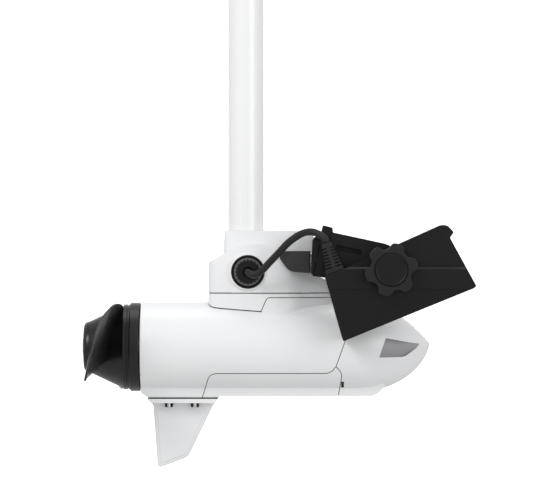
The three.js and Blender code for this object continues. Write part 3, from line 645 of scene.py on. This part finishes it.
core = cut(about_motor(body, Matrix.Diagonal((1, RUBBER_FILL_DEPTH, RUBBER_FILL_DEPTH, 1))), cavity)
for name, line in (("tray", TRAY_LINE), ("nose", NOSE_LINE), ("chin", CHIN_LINE)):
    gasket(f"{name}_gasket", within(core, region(ribbon(line, GASKET_WIDTH))))
saddle_lip = within(prism("plan", neck_plan(1.5), 30, 47.3), region(ribbon(SADDLE_LINE[1:], GASKET_WIDTH)))
gasket("saddle_gasket", cut(saddle_lip, barrel_cutter(0, 96), harness_hole()))
saddle_side = region(SADDLE_LINE + [(100, 60), (-60, 60), (-60, 20)])
# Painted shade: a thin black sheet on the barrel under the saddle's foot darkens the line where they meet.
foot_shade_sheet = within(prism("plan", neck_plan(0.4), 15, 46),
                  rod(BARREL_R + 0.97, -60, 90, "x", segments=128), saddle_side)
gasket("saddle_foot_shade", cut(foot_shade_sheet, barrel_cutter(0.05)))
# Painted shade: a black fill sunk in the chin's notch makes the notch dark.
notch_shade_fill = prism("side", [(90.3, -38.1), (93.1, -38.1), (93.1, -31.9), (90.3, -31.9)], -WIDE, WIDE)
gasket("chin_notch_shade", within(core, notch_shade_fill))

# Neck. A white moulded housing that clamps the shaft's foot, on a rubber gasket and a saddle base
# that sits on the barrel; three stainless bolts hold the stack from above.
NECK_TOP = 110.8
GLAND_PLACE = (2.1, 0, 71.8)
SOCKET_R = 17.35
neck_lower = within(prism("plan", neck_plan(), SPLIT_Z + 0.35, NECK_TOP), region([
    (-36, 40), (-35.2, 81), (-22.4, 87.9), (-10, 94.6, 6), (2.4, 98, 6), (18, 98.3, 8), (26.3, 95.7, 6),
    (37, 86.7, 8), (50, 76), (72, 66, 8), (86, 60), (86, 40),
]))
neck_upper = within(prism("plan", [
    (-21, -12, 4), (-19.5, -17, 3), (-12, -20, 5), (44, -20, 8), (66, -13, 8),
    (66, 13, 8), (44, 20, 8), (-12, 20, 5), (-19.5, 17, 3), (-21, 12, 4),
], SPLIT_Z + 0.35, NECK_TOP), region([
    (-22.3, 40), (-21.9, 88.4), (-19.9, NECK_TOP), (63, NECK_TOP, 5), (68, 92, 4), (70, 40),
]))
neck_boss = turned([(0, 20), (17.6, 20), (17.6, 27.2), (17.3, 28), (16.6, 28.4), (0, 28.4)], "out",
                   GLAND_PLACE)
neck = cut(
    union(neck_lower, neck_upper, neck_boss),
    rod(SOCKET_R, 65.65, 130, "z", segments=96),
    prism("plan", [(-14, -12), (60, -12), (60, 12), (-14, 12)], 40, 66),
    rod(9, 40, 67, "z"),
    rod(15.1, 17.8, 40, "out", GLAND_PLACE, 96),
    *[rod(2.8, -30, -15, "x", (0, 0, z), 32) for z in (95, 104)],
    *neck_bolt_holes(),
)
fit("neck_shell", neck, white_plastic, "neck_housing", edge=0.9, segments=4)
saddle = cut(within(prism("plan", neck_plan(), 15, 51.15), saddle_side), barrel_cutter(1),
             region(ribbon(SADDLE_LINE, SEAM)), harness_hole(), *neck_bolt_holes())
fit("neck_saddle", saddle, white_plastic, "neck_base", edge=0.6)

# Shaft. A pultruded glass-fibre tube with a glossy white gel coat: the fibres run along it and show
# as faint long streaks. It is pushed into the neck's socket.
ALONG_SHAFT = (1, 1, 0.02)
shaft_composite = surface(
    "shaft_composite",
    lambda w: noise(w, 160, 3, ALONG_SHAFT).blend((0.83, 0.835, 0.84, 1), (0.89, 0.893, 0.897, 1)),
    lambda w: 0.2 + 0.12 * noise(w, 240, 3, ALONG_SHAFT),
    lambda w: bumped(noise(w, 500, 2, (1, 1, 0.03)), 0.00002),
    Coat_Weight=0.4, Coat_Roughness=0.1,
)
tube = turned([(13.5, 66), (16.4, 66), (17, 66.6), (17, 354.6), (16.6, 355), (13.5, 355), (13.5, 66)], "z")
fit("main_shaft", tube, shaft_composite, "shaft_tube", edge=0.15, segments=2, angle=50)

# Cable gland. A black nylon bezel takes a nut that presses a rubber seal and a steel slip ring onto
# the cable; the nut has a scalloped grip, and unscrews to starboard.
black_plastic = surface(
    "black_plastic",
    lambda w: noise(w, 30, 4).blend((0.0016, 0.0016, 0.0018, 1), (0.0032, 0.0032, 0.0034, 1)),
    lambda w: 0.34 + 0.14 * noise(w, 90, 3),
    lambda w: bumped(noise(w, 1500, 2), 0.00005),
    Specular_IOR_Level=0.27,
)
knob_plastic = surface(
    "knob_plastic",
    lambda w: noise(w, 40, 4).blend((0.012, 0.012, 0.0125, 1), (0.018, 0.018, 0.0185, 1)),
    lambda w: 0.5 + 0.12 * noise(w, 120, 3),
    lambda w: bumped(noise(w, 1300, 2), 0.00006),
    Specular_IOR_Level=0.2,
)
steel = surface(
    "steel",
    lambda w: noise(w, 50, 3).blend((0.5, 0.5, 0.51, 1), (0.66, 0.66, 0.67, 1)),
    lambda w: 0.2 + 0.2 * noise(w, 400, 3),
    lambda w: bumped(noise(w, 2500, 2, (1, 0.1, 1)), 0.00001),
    Metallic=1,
)


def about(place, radius, turn):
    """A place at a radius round a point, in the plane seen from the side."""
    return place[0] + radius * math.cos(turn), place[1], place[2] + radius * math.sin(turn)


bezel = turned([
    (13.9, 29), (14.4, 29.35), (15.4, 29.35), (15.9, 28.9), (15.9, 28.75), (14.75, 28.75), (14.75, 18.4),
    (5, 18.4), (5, 20), (13.9, 20), (13.9, 29),
], "out", GLAND_PLACE)
fit("cable_bezel", bezel, black_plastic, "gland_bezel", edge=0.15, segments=2, angle=50)
nut = turned([
    (4.4, 26.5), (13.35, 26.5), (13.35, 30.4), (12.95, 30.9), (4.4, 30.9), (4.4, 26.5),
], "out", GLAND_PLACE)
nut_plastic = surface(
    "nut_plastic",
    lambda w: noise(w, 40, 4).blend((0.07, 0.07, 0.072, 1), (0.095, 0.095, 0.097, 1)),
    lambda w: 0.4 + 0.12 * noise(w, 120, 3),
    lambda w: bumped(noise(w, 1300, 2), 0.00004),
)
fit("cable_nut", nut, nut_plastic, "gland_nut", "gland_nut_body", edge=0.15, segments=2)
KNURLS = 20
KNURL_POINTS = 12 * KNURLS


def knurled_ring(grow, depth):
    """The nut's scalloped outline, at a distance from the motor's middle."""
    ring = []
    for k in range(KNURL_POINTS):
        turn = 2 * math.pi * k / KNURL_POINTS
        radius = 11.2 + grow + 0.75 * math.cos(KNURLS * turn)
        x, _, z = about(GLAND_PLACE, radius, turn)
        ring.append((x, -depth, z))
    return ring


grip = cut(loft([knurled_ring(0, 30.7), knurled_ring(0, 31.7), knurled_ring(-0.3, 32)]),
           turned([(0, 30), (4.4, 30), (4.4, 31.2), (5.2, 33), (0, 33)], "out", GLAND_PLACE, 64))
fit("cable_nut_grip", grip, black_plastic, None, "gland_nut_body", edge=0.1, segments=1)
dress(rubber, "cable_seal", "neck_gasket")
dress(steel, "gland_slip_ring", "neck_bolt_1", "neck_bolt_2", "neck_bolt_3", "shaft_set_screw_1",
      "shaft_set_screw_2")

# Mount. A grey cheek moulded to the neck's side takes a black bracket with a long arm; two screws
# from the bracket's face hold it.
grey_plastic = surface(
    "grey_plastic",
    lambda w: noise(w, 30, 3).blend((0.014, 0.0145, 0.0155, 1), (0.03, 0.031, 0.033, 1)),
    lambda w: 0.3 + 0.12 * noise(w, 90, 3),
    lambda w: bumped(noise(w, 1200, 2), 0.00004),
)
CHEEK_BOLT_Z = (76.5, 88)
PIVOT = (134.9, 0, 74.4)
PIVOT_BORE_R = 4.4
ARM_NEAR, ARM_FAR = -62, -50
foot_block = prism("side", [
    (61.6, 70.8), (63.4, 68.2), (71.1, 67, 1), (79.6, 108.6), (82, 109.2), (81.5, 113.5, 1),
    (72.9, 115.8, 1), (71.4, 110), (63, 102.6, 2),
], -63.4, -19)
foot = cut(foot_block, prism("plan", [(72.6, -48), (90, -48), (90, -19), (72.6, -19)], 60, 104))
arm = prism("side", [
    (66, 100), (81, 109.3), (134.4, 97.8, 6), (147, 88, 6), (150.5, 74.4, 6), (146, 61.5, 8), (132, 60.5, 4),
    (71.1, 67),
], ARM_NEAR, ARM_FAR)
web = prism("plan", [(70, ARM_FAR - 1), (70, -22), (76, -22), (96, ARM_FAR - 1)], 80.8, 83.7)
bracket = cut(
    union(foot, arm, web),
    prism("side", [(85, 97.6, 2), (109, 92.6, 2), (109, 87.6, 2), (85, 92.6, 2)], -80, -55),
    prism("side", [(66.5, 86), (68, 85.7), (70.2, 96.6), (68.7, 97)], -70, -60.4),
    prism("side", [(63.4, 71.4), (65, 71), (67, 80.6), (65.4, 81)], -70, -60.4),
    rod(PIVOT_BORE_R, 40, 70, "out", PIVOT),
    *[rod(2.4, 55, 90, "x", (0, -27, z), 32) for z in CHEEK_BOLT_Z],
)
fit("sonar_bracket", bracket, black_plastic, "mount_bracket", edge=0.8, segments=1)
dress(grey_plastic, "mount_cheek", edge=0.6)
dress(steel, "bracket_bolt_1", "bracket_bolt_2", "pivot_bolt")

# Transducer. A black nylon shell, open under a glued window that the sonar array looks through. It is
# thickened round the pivot, and its skirt stands proud of the plate with a raised band along the top.
window_plastic = surface(
    "window_plastic",
    lambda w: noise(w, 20, 3).blend((0.012, 0.012, 0.013, 1), (0.018, 0.018, 0.02, 1)),
    lambda w: 0.25 + 0.1 * noise(w, 60, 3),
    lambda w: bumped(noise(w, 300, 2), 0.00002),
)
REAR_TOP, REAR_FOOT, FRONT_FOOT = (-61.1, -5.8), (-43.7, -66.3), (76.1, -17.5)
NOSE_CORNER, HORN_TOP, REAR_SHOULDER = (79.9, -15.4), (47.1, 41.6), (-42.8, 1.2)
PLATE_LINE = [
    (*REAR_TOP, 1.5), (*REAR_FOOT, 1), (*FRONT_FOOT, 1.5), (*NOSE_CORNER, 1.5), (55.2, 29.7, 1.5),
    (58.9, 34.8, 1.5), (52.8, 41.2, 3), (*HORN_TOP, 2), (*REAR_SHOULDER, 1),
]
FACE_RUN, FACE_RISE = 119.8, 48.8
FACE_ANGLE = math.atan2(FACE_RISE, FACE_RUN)
FACE_LENGTH = math.hypot(FACE_RISE, FACE_RUN)


def at_pivot(points):
    """Corners measured from the pivot, as corners about the motor's axis."""
    return [(p[0] + PIVOT[0], p[1] + PIVOT[2], *p[2:]) for p in points]


def along_face(start, end, low, high, inner, outer):
    """A block laid on the acoustic face."""
    corners = []
    for s, t in ((start, low), (end, low), (end, high), (start, high)):
        corners.append((REAR_FOOT[0] + s * math.cos(FACE_ANGLE) - t * math.sin(FACE_ANGLE),
                        REAR_FOOT[1] + s * math.sin(FACE_ANGLE) + t * math.cos(FACE_ANGLE)))
    return prism("side", at_pivot(corners), -outer, -inner)


SKIRT_LINE = [
    (*REAR_TOP, 1.5), (*REAR_FOOT, 1), (*FRONT_FOOT, 1.5), (77.8, -16.6), (68.6, 2.7), (-37.2, 2.7),
    REAR_SHOULDER,
]
SKIRT_END = [
    (-64, 2.7), (-89.2, 2.6), (-91, 0.8), (-91, -17.8), (-90.3, -18.5), (-86.5, -68), (-64, -68),
]
plate = prism("side", at_pivot(PLATE_LINE), -84, -64)
skirt = within(prism("side", at_pivot(SKIRT_LINE), -99, -64),
               prism("end", [(y, z + PIVOT[2]) for y, z in SKIRT_END], 60, 220))
back_block = within(prism("side", at_pivot(PLATE_LINE), -65, -47), along_face(-10, 150, -5, 28, 30, 70))
sonar_body = cut(
    union(plate, skirt, back_block, rod(15, 65, 91.2, "out", PIVOT)),
    along_face(6, FACE_LENGTH - 6, -2, 22, 50, 81.5),
    rod(PIVOT_BORE_R, 40, 110, "out", PIVOT),
)
fit("sonar_shell", sonar_body, black_plastic, "transducer_housing", "transducer", edge=1.2, segments=1,
    angle=7, smooth=math.radians(4))
dress(window_plastic, "array_window", edge=0.5)
dress(rubber, "friction_washer")

# Clamp knob. Six soft lobes moulded round a brass insert, with a black snap-in cap over the thread
# and a steel washer behind; it screws off to starboard.
brass = surface(
    "brass",
    lambda w: noise(w, 60, 3).blend((0.55, 0.38, 0.13, 1), (0.68, 0.49, 0.19, 1)),
    lambda w: 0.2 + 0.2 * noise(w, 300, 3),
    lambda w: bumped(noise(w, 1500, 2), 0.00001),
    Metallic=1,
)
KNOB_BACK, KNOB_FACE = 93.4, 105
KNOB_R, LOBES, LOBE_RISE = 22, 6, 2.9
FIRST_LOBE = math.radians(14)
LOBE_POINTS = 180


def lobe_ring(inset, depth):
    """The knob's wavy outline, drawn in by an inset, at a distance from the motor's middle."""
    ring = []
    for k in range(LOBE_POINTS):
        turn = 2 * math.pi * k / LOBE_POINTS
        wave = math.cos(LOBES * (turn - FIRST_LOBE))
        radius = KNOB_R + LOBE_RISE * math.tanh(1.9 * wave + 0.45) / math.tanh(2.35) - inset
        ring.append((PIVOT[0] + radius * math.cos(turn), -depth, PIVOT[2] + radius * math.sin(turn)))
    return ring


ROUND = 1.6
corner = [(ROUND * (1 - math.cos(a)), ROUND * (1 - math.sin(a))) for a in
          (math.radians(k) for k in range(90, -1, -15))]
knob_rings = [lobe_ring(inset, KNOB_BACK + rise) for inset, rise in corner]
knob_rings += [lobe_ring(inset, KNOB_FACE - rise) for inset, rise in reversed(corner)]
knob = cut(loft(knob_rings), rod(6.9, 90, 103.9, "out", PIVOT),
           turned([(15, 104), (15.6, 104), (15.6, 110), (15, 110), (15, 104)], "out", PIVOT, 96))
fit("knob_grip", knob, knob_plastic, "clamp_knob", "knob", edge=0.2, segments=2, angle=50)
cap = turned([
    (0, 105.3), (14.4, 105.3), (14.6, 105.6), (14.6, 106.5), (14.3, 106.85), (13.9, 106.9), (13.2, 106.55),
    (0, 106.4),
], "out", PIVOT)
fit("knob_cover", cap, black_plastic, "knob_cap", "knob", edge=0.1, segments=2, angle=50)
dress(brass, "knob_insert")
dress(steel, "knob_washer")

# Strain relief. A flexible black rubber boot tapers up the cable from the transducer's upper edge;
# two columns of slots let it bend.
BOOT_BASE, BOOT_TOP = (83.7, 72.7), (75.3, 99.3)
BOOT_Y = -79
boot_length = math.dist(BOOT_BASE, BOOT_TOP)
boot_lean = math.atan2(BOOT_TOP[0] - BOOT_BASE[0], BOOT_TOP[1] - BOOT_BASE[1])


def up_boot(across, y, height):
    """A place measured across the boot and up it from its base."""
    return (BOOT_BASE[0] + across * math.cos(boot_lean) + height * math.sin(boot_lean), y,
            BOOT_BASE[1] - across * math.sin(boot_lean) + height * math.cos(boot_lean))


def boot_block(sections):
    """A tapered block up the boot, from (half across, half deep, height)."""
    rings = []
    for half, deep, height in sections:
        line = rounded([(-half, -deep, 1.6), (half, -deep, 1.6), (half, deep, 1.6), (-half, deep, 1.6)], 4)
        rings.append([up_boot(a, BOOT_Y + b, height) for a, b in line])
    return loft(rings)


def boot_slot(start, end, low, high):
    """A slot's cutter, right through the boot."""
    corners = ((start, low), (end, low), (end, high), (start, high))
    return loft([[up_boot(across, y, height) for across, height in corners] for y in (-90, -68)])


SLOT_PITCH, SLOT_HEIGHT, SLOT_ROWS = 3, 1.4, 7
slots = [boot_slot(*sides, low, low + SLOT_HEIGHT)
         for low in (4 + SLOT_PITCH * k for k in range(SLOT_ROWS)) for sides in ((1.4, 9.8), (-9.8, -1.4))]
boot = cut(boot_block([(8.8, 6.5, -4), (8.8, 6.5, 0), (6.6, 5.4, boot_length / 2), (4.4, 4.3, boot_length)]),
           *slots)
boot = union(boot, boot_block([(3.4, 3.4, -3), (2.8, 2.8, boot_length - 0.4)]))
seat = at_pivot([REAR_TOP, REAR_FOOT, FRONT_FOOT, HORN_TOP, REAR_SHOULDER])
boot = cut(boot, prism("side", [(a + 0.1, b + 0.3) for a, b in seat], -95, -60))
fit("cable_boot", boot, rubber, "strain_relief", "transducer", edge=0.25, segments=2)

# Skeg. A white nylon fin with a flat rim and a raised middle, moulded with a flange that four
# stainless bolts hold under the keel. A thin black sheet between keel and flange is painted shade along
# the seam, and two black lobes beside each bolt head are painted shade and reflection on the chrome.
FIN = [(-88.7, -51), (-84, -115.7, 4.5), (-55.1, -105, 4.5), (-29, -51)]


def drawn_in(corners, inset):
    """A closed outline moved inwards, for corners that go round anticlockwise."""
    moved = []
    for k, (a, b, *radius) in enumerate(corners):
        here = Vector((a, b))
        back = (here - Vector(corners[k - 1][:2])).normalized()
        on = (Vector(corners[(k + 1) % len(corners)][:2]) - here).normalized()
        first, last = Vector((-back.y, back.x)), Vector((-on.y, on.x))
        place = here + inset * (first + last) / (1 + first.dot(last))
        moved.append((*place, *[max(r - inset, 0.5) for r in radius]))
    return moved


def fin_ring(inset, y):
    return [(x, y, z) for x, z in rounded(drawn_in(FIN, inset))]


FIN_STEPS = [(4, 3.6), (2.7, 2.75), (1.1, 2.6), (0, 1.6)]
fin = loft([fin_ring(inset, -y) for inset, y in FIN_STEPS]
           + [fin_ring(inset, y) for inset, y in reversed(FIN_STEPS)])
flange = prism("side", [(-93.2, -48.9), (-26.4, -48.9), (-29.2, -52.9), (-90.4, -52.9)], -17, 17)
shoulder = prism("side", [(-90.4, -52.8), (-29.2, -52.8), (-31, -55.6), (-88.4, -55.5)], -6.5, 6.5)
skeg = cut(union(flange, shoulder, fin), *skeg_bolt_holes(SKEG_BOLT_HOLE_R, -60, -40),
           *skeg_bolt_holes(5.2, -60, -50.6, 48))
fit("skeg_fin", skeg, white_plastic, "skeg", edge=0.5)
# Painted shade: a thin black sheet between keel and flange darkens the seam under the keel.
keel_shade_sheet = prism("side", [(-93, -47.9), (-26.5, -47.9), (-26.9, -48.85), (-92.6, -48.85)], -16.6, 16.6)
gasket("keel_seam_shade", cut(keel_shade_sheet, *skeg_bolt_holes(SKEG_BOLT_HOLE_R, -60, -40)))
BOLT_HEAD = [(0, -57.5), (2.2, -57.5), (2.7, -57.1), (2.7, -51), (0, -51)]
BOLT_SHADE_LOBES = [(2.75, -50.8), (3.9, -50.8), (3.9, -57), (2.75, -57), (2.75, -50.8)]
SHADE_LOBE_GAP = (2.5, 6)
for k, (x, y) in enumerate(SKEG_BOLTS, start=1):
    bolt = union(turned(BOLT_HEAD, "z", (x, y, 0), 48), rod(2, -51.1, -43, "z", (x, y, 0), 24))
    bolt = cut(bolt, rod(1.4, -60, -55, "z", (x, y, 0), 6))
    fit(f"fin_bolt_{k}", bolt, steel, f"skeg_bolt_{k}", edge=0.15, segments=2)
    gap = [(x + a * SHADE_LOBE_GAP[0], y + b * SHADE_LOBE_GAP[1]) for a, b in ((-1, -1), (1, -1), (1, 1), (-1, 1))]
    # Painted shade and reflection: two black lobes beside each chrome head give it dark side stripes.
    seal = cut(turned(BOLT_SHADE_LOBES, "z", (x, y, 0), 48), prism("plan", gap, -60, -53))
    fit(f"fin_bolt_shade_stripes_{k}", seal, rubber, None, edge=0.1, segments=1)

# Motor inside. A brushless motor: laminated stator with copper windings and two cast end bells held
# by through bolts, magnets on a laminated rotor, bearings, seals, and its controller in front.
hub_plastic = surface(
    "hub_plastic",
    lambda w: noise(w, 25, 4).blend((0.003, 0.003, 0.0032, 1), (0.006, 0.006, 0.0063, 1)),
    lambda w: 0.24 + 0.12 * noise(w, 80, 3),
    lambda w: bumped(noise(w, 1100, 2), 0.00003),
    Specular_IOR_Level=0.42,
)
aluminium = surface(
    "aluminium",
    lambda w: noise(w, 40, 3).blend((0.42, 0.43, 0.44, 1), (0.56, 0.57, 0.58, 1)),
    lambda w: 0.38 + 0.2 * noise(w, 200, 3),
    lambda w: bumped(noise(w, 900, 3), 0.00006),
    Metallic=1,
)


def stacked(wire, pitch):
    """Fine sheets or turns of wire side by side along the motor, at a pitch in metres."""
    place = wire.node("TexCoord", out=3)
    return wire.node("TexWave", {"bands_direction": "X"}, out=1, Vector=place, Scale=math.pi / 10 / pitch)


SHEET_PITCH, WIRE_PITCH = 0.0006, 0.0012
lamination = surface(
    "lamination",
    lambda w: stacked(w, SHEET_PITCH).blend((0.07, 0.072, 0.078, 1), (0.17, 0.172, 0.18, 1)),
    lambda w: 0.35 + 0.15 * noise(w, 200, 3),
    lambda w: bumped(stacked(w, SHEET_PITCH), 0.00008),
    Metallic=0.8,
)
copper = surface(
    "copper",
    lambda w: noise(w, 90, 4).blend((0.42, 0.16, 0.06, 1), (0.6, 0.27, 0.11, 1)),
    lambda w: 0.22 + 0.15 * noise(w, 200, 3),
    lambda w: bumped(stacked(w, WIRE_PITCH), 0.0002),
    Metallic=0.9,
)
board = surface(
    "board",
    lambda w: noise(w, 260, 2).blend((0.006, 0.06, 0.028, 1), (0.012, 0.11, 0.05, 1)),
    lambda w: 0.3 + 0.1 * noise(w, 200, 3),
    lambda w: bumped(noise(w, 500, 2), 0.00005),
)
dress(black_plastic, "harness_connector")
dress(rubber, "power_harness", "housing_o_ring", "shaft_seal")
dress(aluminium, "rear_end_bell", "front_end_bell", "heat_spreader")
dress(lamination, "stator_core", "rotor_core", "rotor_magnets", "array_module")
dress(copper, "stator_windings")
dress(board, "controller_board")
dress(steel, "rear_bearing", "front_bearing", "through_bolt_1", "through_bolt_2", "prop_shaft", "drive_pin",
      "prop_washer", "prop_nut")

# Propeller. One black nylon moulding: a hub that covers the motor's rear, closed by a cone, with two
# swept weedless blades whose leading edges wrap round the hub; pin-driven and held by the nut.
HUB_FRONT = -100.7
PROP_SEGMENTS = 144
BLADE_ROOT_R, BLADE_TIP_R = 21, 140
hub = turned([
    (39, HUB_FRONT), (41.6, HUB_FRONT), (42.05, -100.9), (42.2, -101.4), (42.2, -109.3), (41.9, -109.8),
    (40.9, -110), (40.6, -110.3), (40.6, -111.5), (39.8, -111.8), (39.8, -112.6), (40.6, -112.9),
    (40.6, -115.9), (40.3, -116.3), (39.6, -116.5), (24.4, -149), (23.9, -151.2), (22.8, -153),
    (21.2, -154.1), (19.6, -154.4), (16, -154.4), (16, -147), (5.1, -147), (5.1, -104.5), (11, -104.5),
    (11, -140.5), (23, -142.5), (36, -117.2), (37.6, -114.5), (37.6, -110), (39, -108.5), (39, HUB_FRONT),
], "x", segments=PROP_SEGMENTS)
hub_hollow = turned([
    (0, -95.7), (39, -95.7), (39, -108.5), (37.6, -110), (37.6, -114.5), (36, -117.2), (23, -142.5),
    (0, -142.5),
], "x", segments=PROP_SEGMENTS)
# Each blade edge is (radius, place along the motor, degrees above level).
LEADING = [
    (BLADE_ROOT_R, -116.5, 78), (38, -117.5, 76), (50, -119.5, 56), (62, -121.7, 42.6), (80, -126, 28.8),
    (95, -131.5, 19), (110, -137, 8.9), (125, -141.5, -1.4), (135, -143.6, -7.6),
    (BLADE_TIP_R, -144.5, -10),
]
TRAILING = [
    (BLADE_ROOT_R, -138, -46), (28, -140, -40), (45, -141.5, -27.8), (65, -143, -19.8), (90, -144, -15.1),
    (115, -144.8, -12.4), (135, -145.2, -10.9), (BLADE_TIP_R, -145.2, -10.8),
]
BLADE_STATIONS = 40
BLADE_ROOT_T, BLADE_TIP_T = 5.2, 2.2


def along_edge(edge, radius):
    """A blade edge's place along the motor and its angle above level, at a radius."""
    k = next((k for k in range(1, len(edge)) if edge[k][0] >= radius), len(edge) - 1)
    p0, p1, p2 = Vector(edge[k - 1]), Vector(edge[k]), Vector(edge[min(k + 1, len(edge) - 1)])
    before = Vector(edge[max(k - 2, 0)])
    t = (radius - p0.x) / (p1.x - p0.x)
    here = p0.lerp(p1, t)
    step = p1.x - p0.x
    bend_in = (p1 - before).yz / (p1 - before).x
    bend_out = (p2 - p0).yz / (p2 - p0).x
    slope = (p1 - p0).yz / step
    smooth = (bend_in - slope) * (t * (1 - t) ** 2 * step) - (bend_out - slope) * (t * t * (1 - t) * step)
    return here.y + smooth.x, here.z + smooth.y


def blade_ring(radius, across=21):
    """A blade's section at a radius, down one face and back up the other."""
    x0, a0 = along_edge(LEADING, radius)
    x1, a1 = along_edge(TRAILING, radius)
    share = (radius - BLADE_ROOT_R) / (BLADE_TIP_R - BLADE_ROOT_R)
    thick = BLADE_ROOT_T + (BLADE_TIP_T - BLADE_ROOT_T) * share
    faces = [[], []]
    for k in range(across):
        s = k / (across - 1)
        turn = math.radians(a0 + s ** 0.9 * (a1 - a0))
        swing = radius * math.radians(a1 - a0)
        chord = Vector((x1 - x0, swing * math.sin(turn), swing * math.cos(turn))).normalized()
        radial = Vector((0, -math.cos(turn), math.sin(turn)))
        face = chord.cross(radial)
        half = thick / 2 * (0.22 + 0.78 * math.sin(math.pi * min(max(s, 0.02), 0.98)) ** 0.6)
        middle = Vector((x0 + s * (x1 - x0), 0, 0)) + radius * radial
        faces[0].append(tuple(middle + half * face))
        faces[1].append(tuple(middle - half * face))
    return faces[0] + faces[1][::-1]


blade_radii = [BLADE_ROOT_R + (BLADE_TIP_R - BLADE_ROOT_R) * (k / BLADE_STATIONS)
               for k in range(BLADE_STATIONS + 1)]
blade = cut(loft([blade_ring(radius) for radius in blade_radii]), hub_hollow)
rib = prism("side", [(-112, 10.5), (-112, 38), (-117, 37.5), (-143, 24), (-143, 10.5)], -1.2, 1.2)
ribs = [about_motor(rib, Matrix.Rotation(math.radians(60 * k + 30), 4, "X")) for k in range(6)]
propeller = cut(union(hub, *ribs, blade, about_motor(blade, Matrix.Rotation(math.pi, 4, "X"))),
                prism("side", [(-110, -20), (-95.7, -20), (-95.7, 20), (-110, 20)], -2.3, 2.3),
                rod(15.9, -160, -147, "x", segments=96))
fit("weedless_propeller", propeller, hub_plastic, "propeller", "propeller_set", edge=0.3, segments=2)
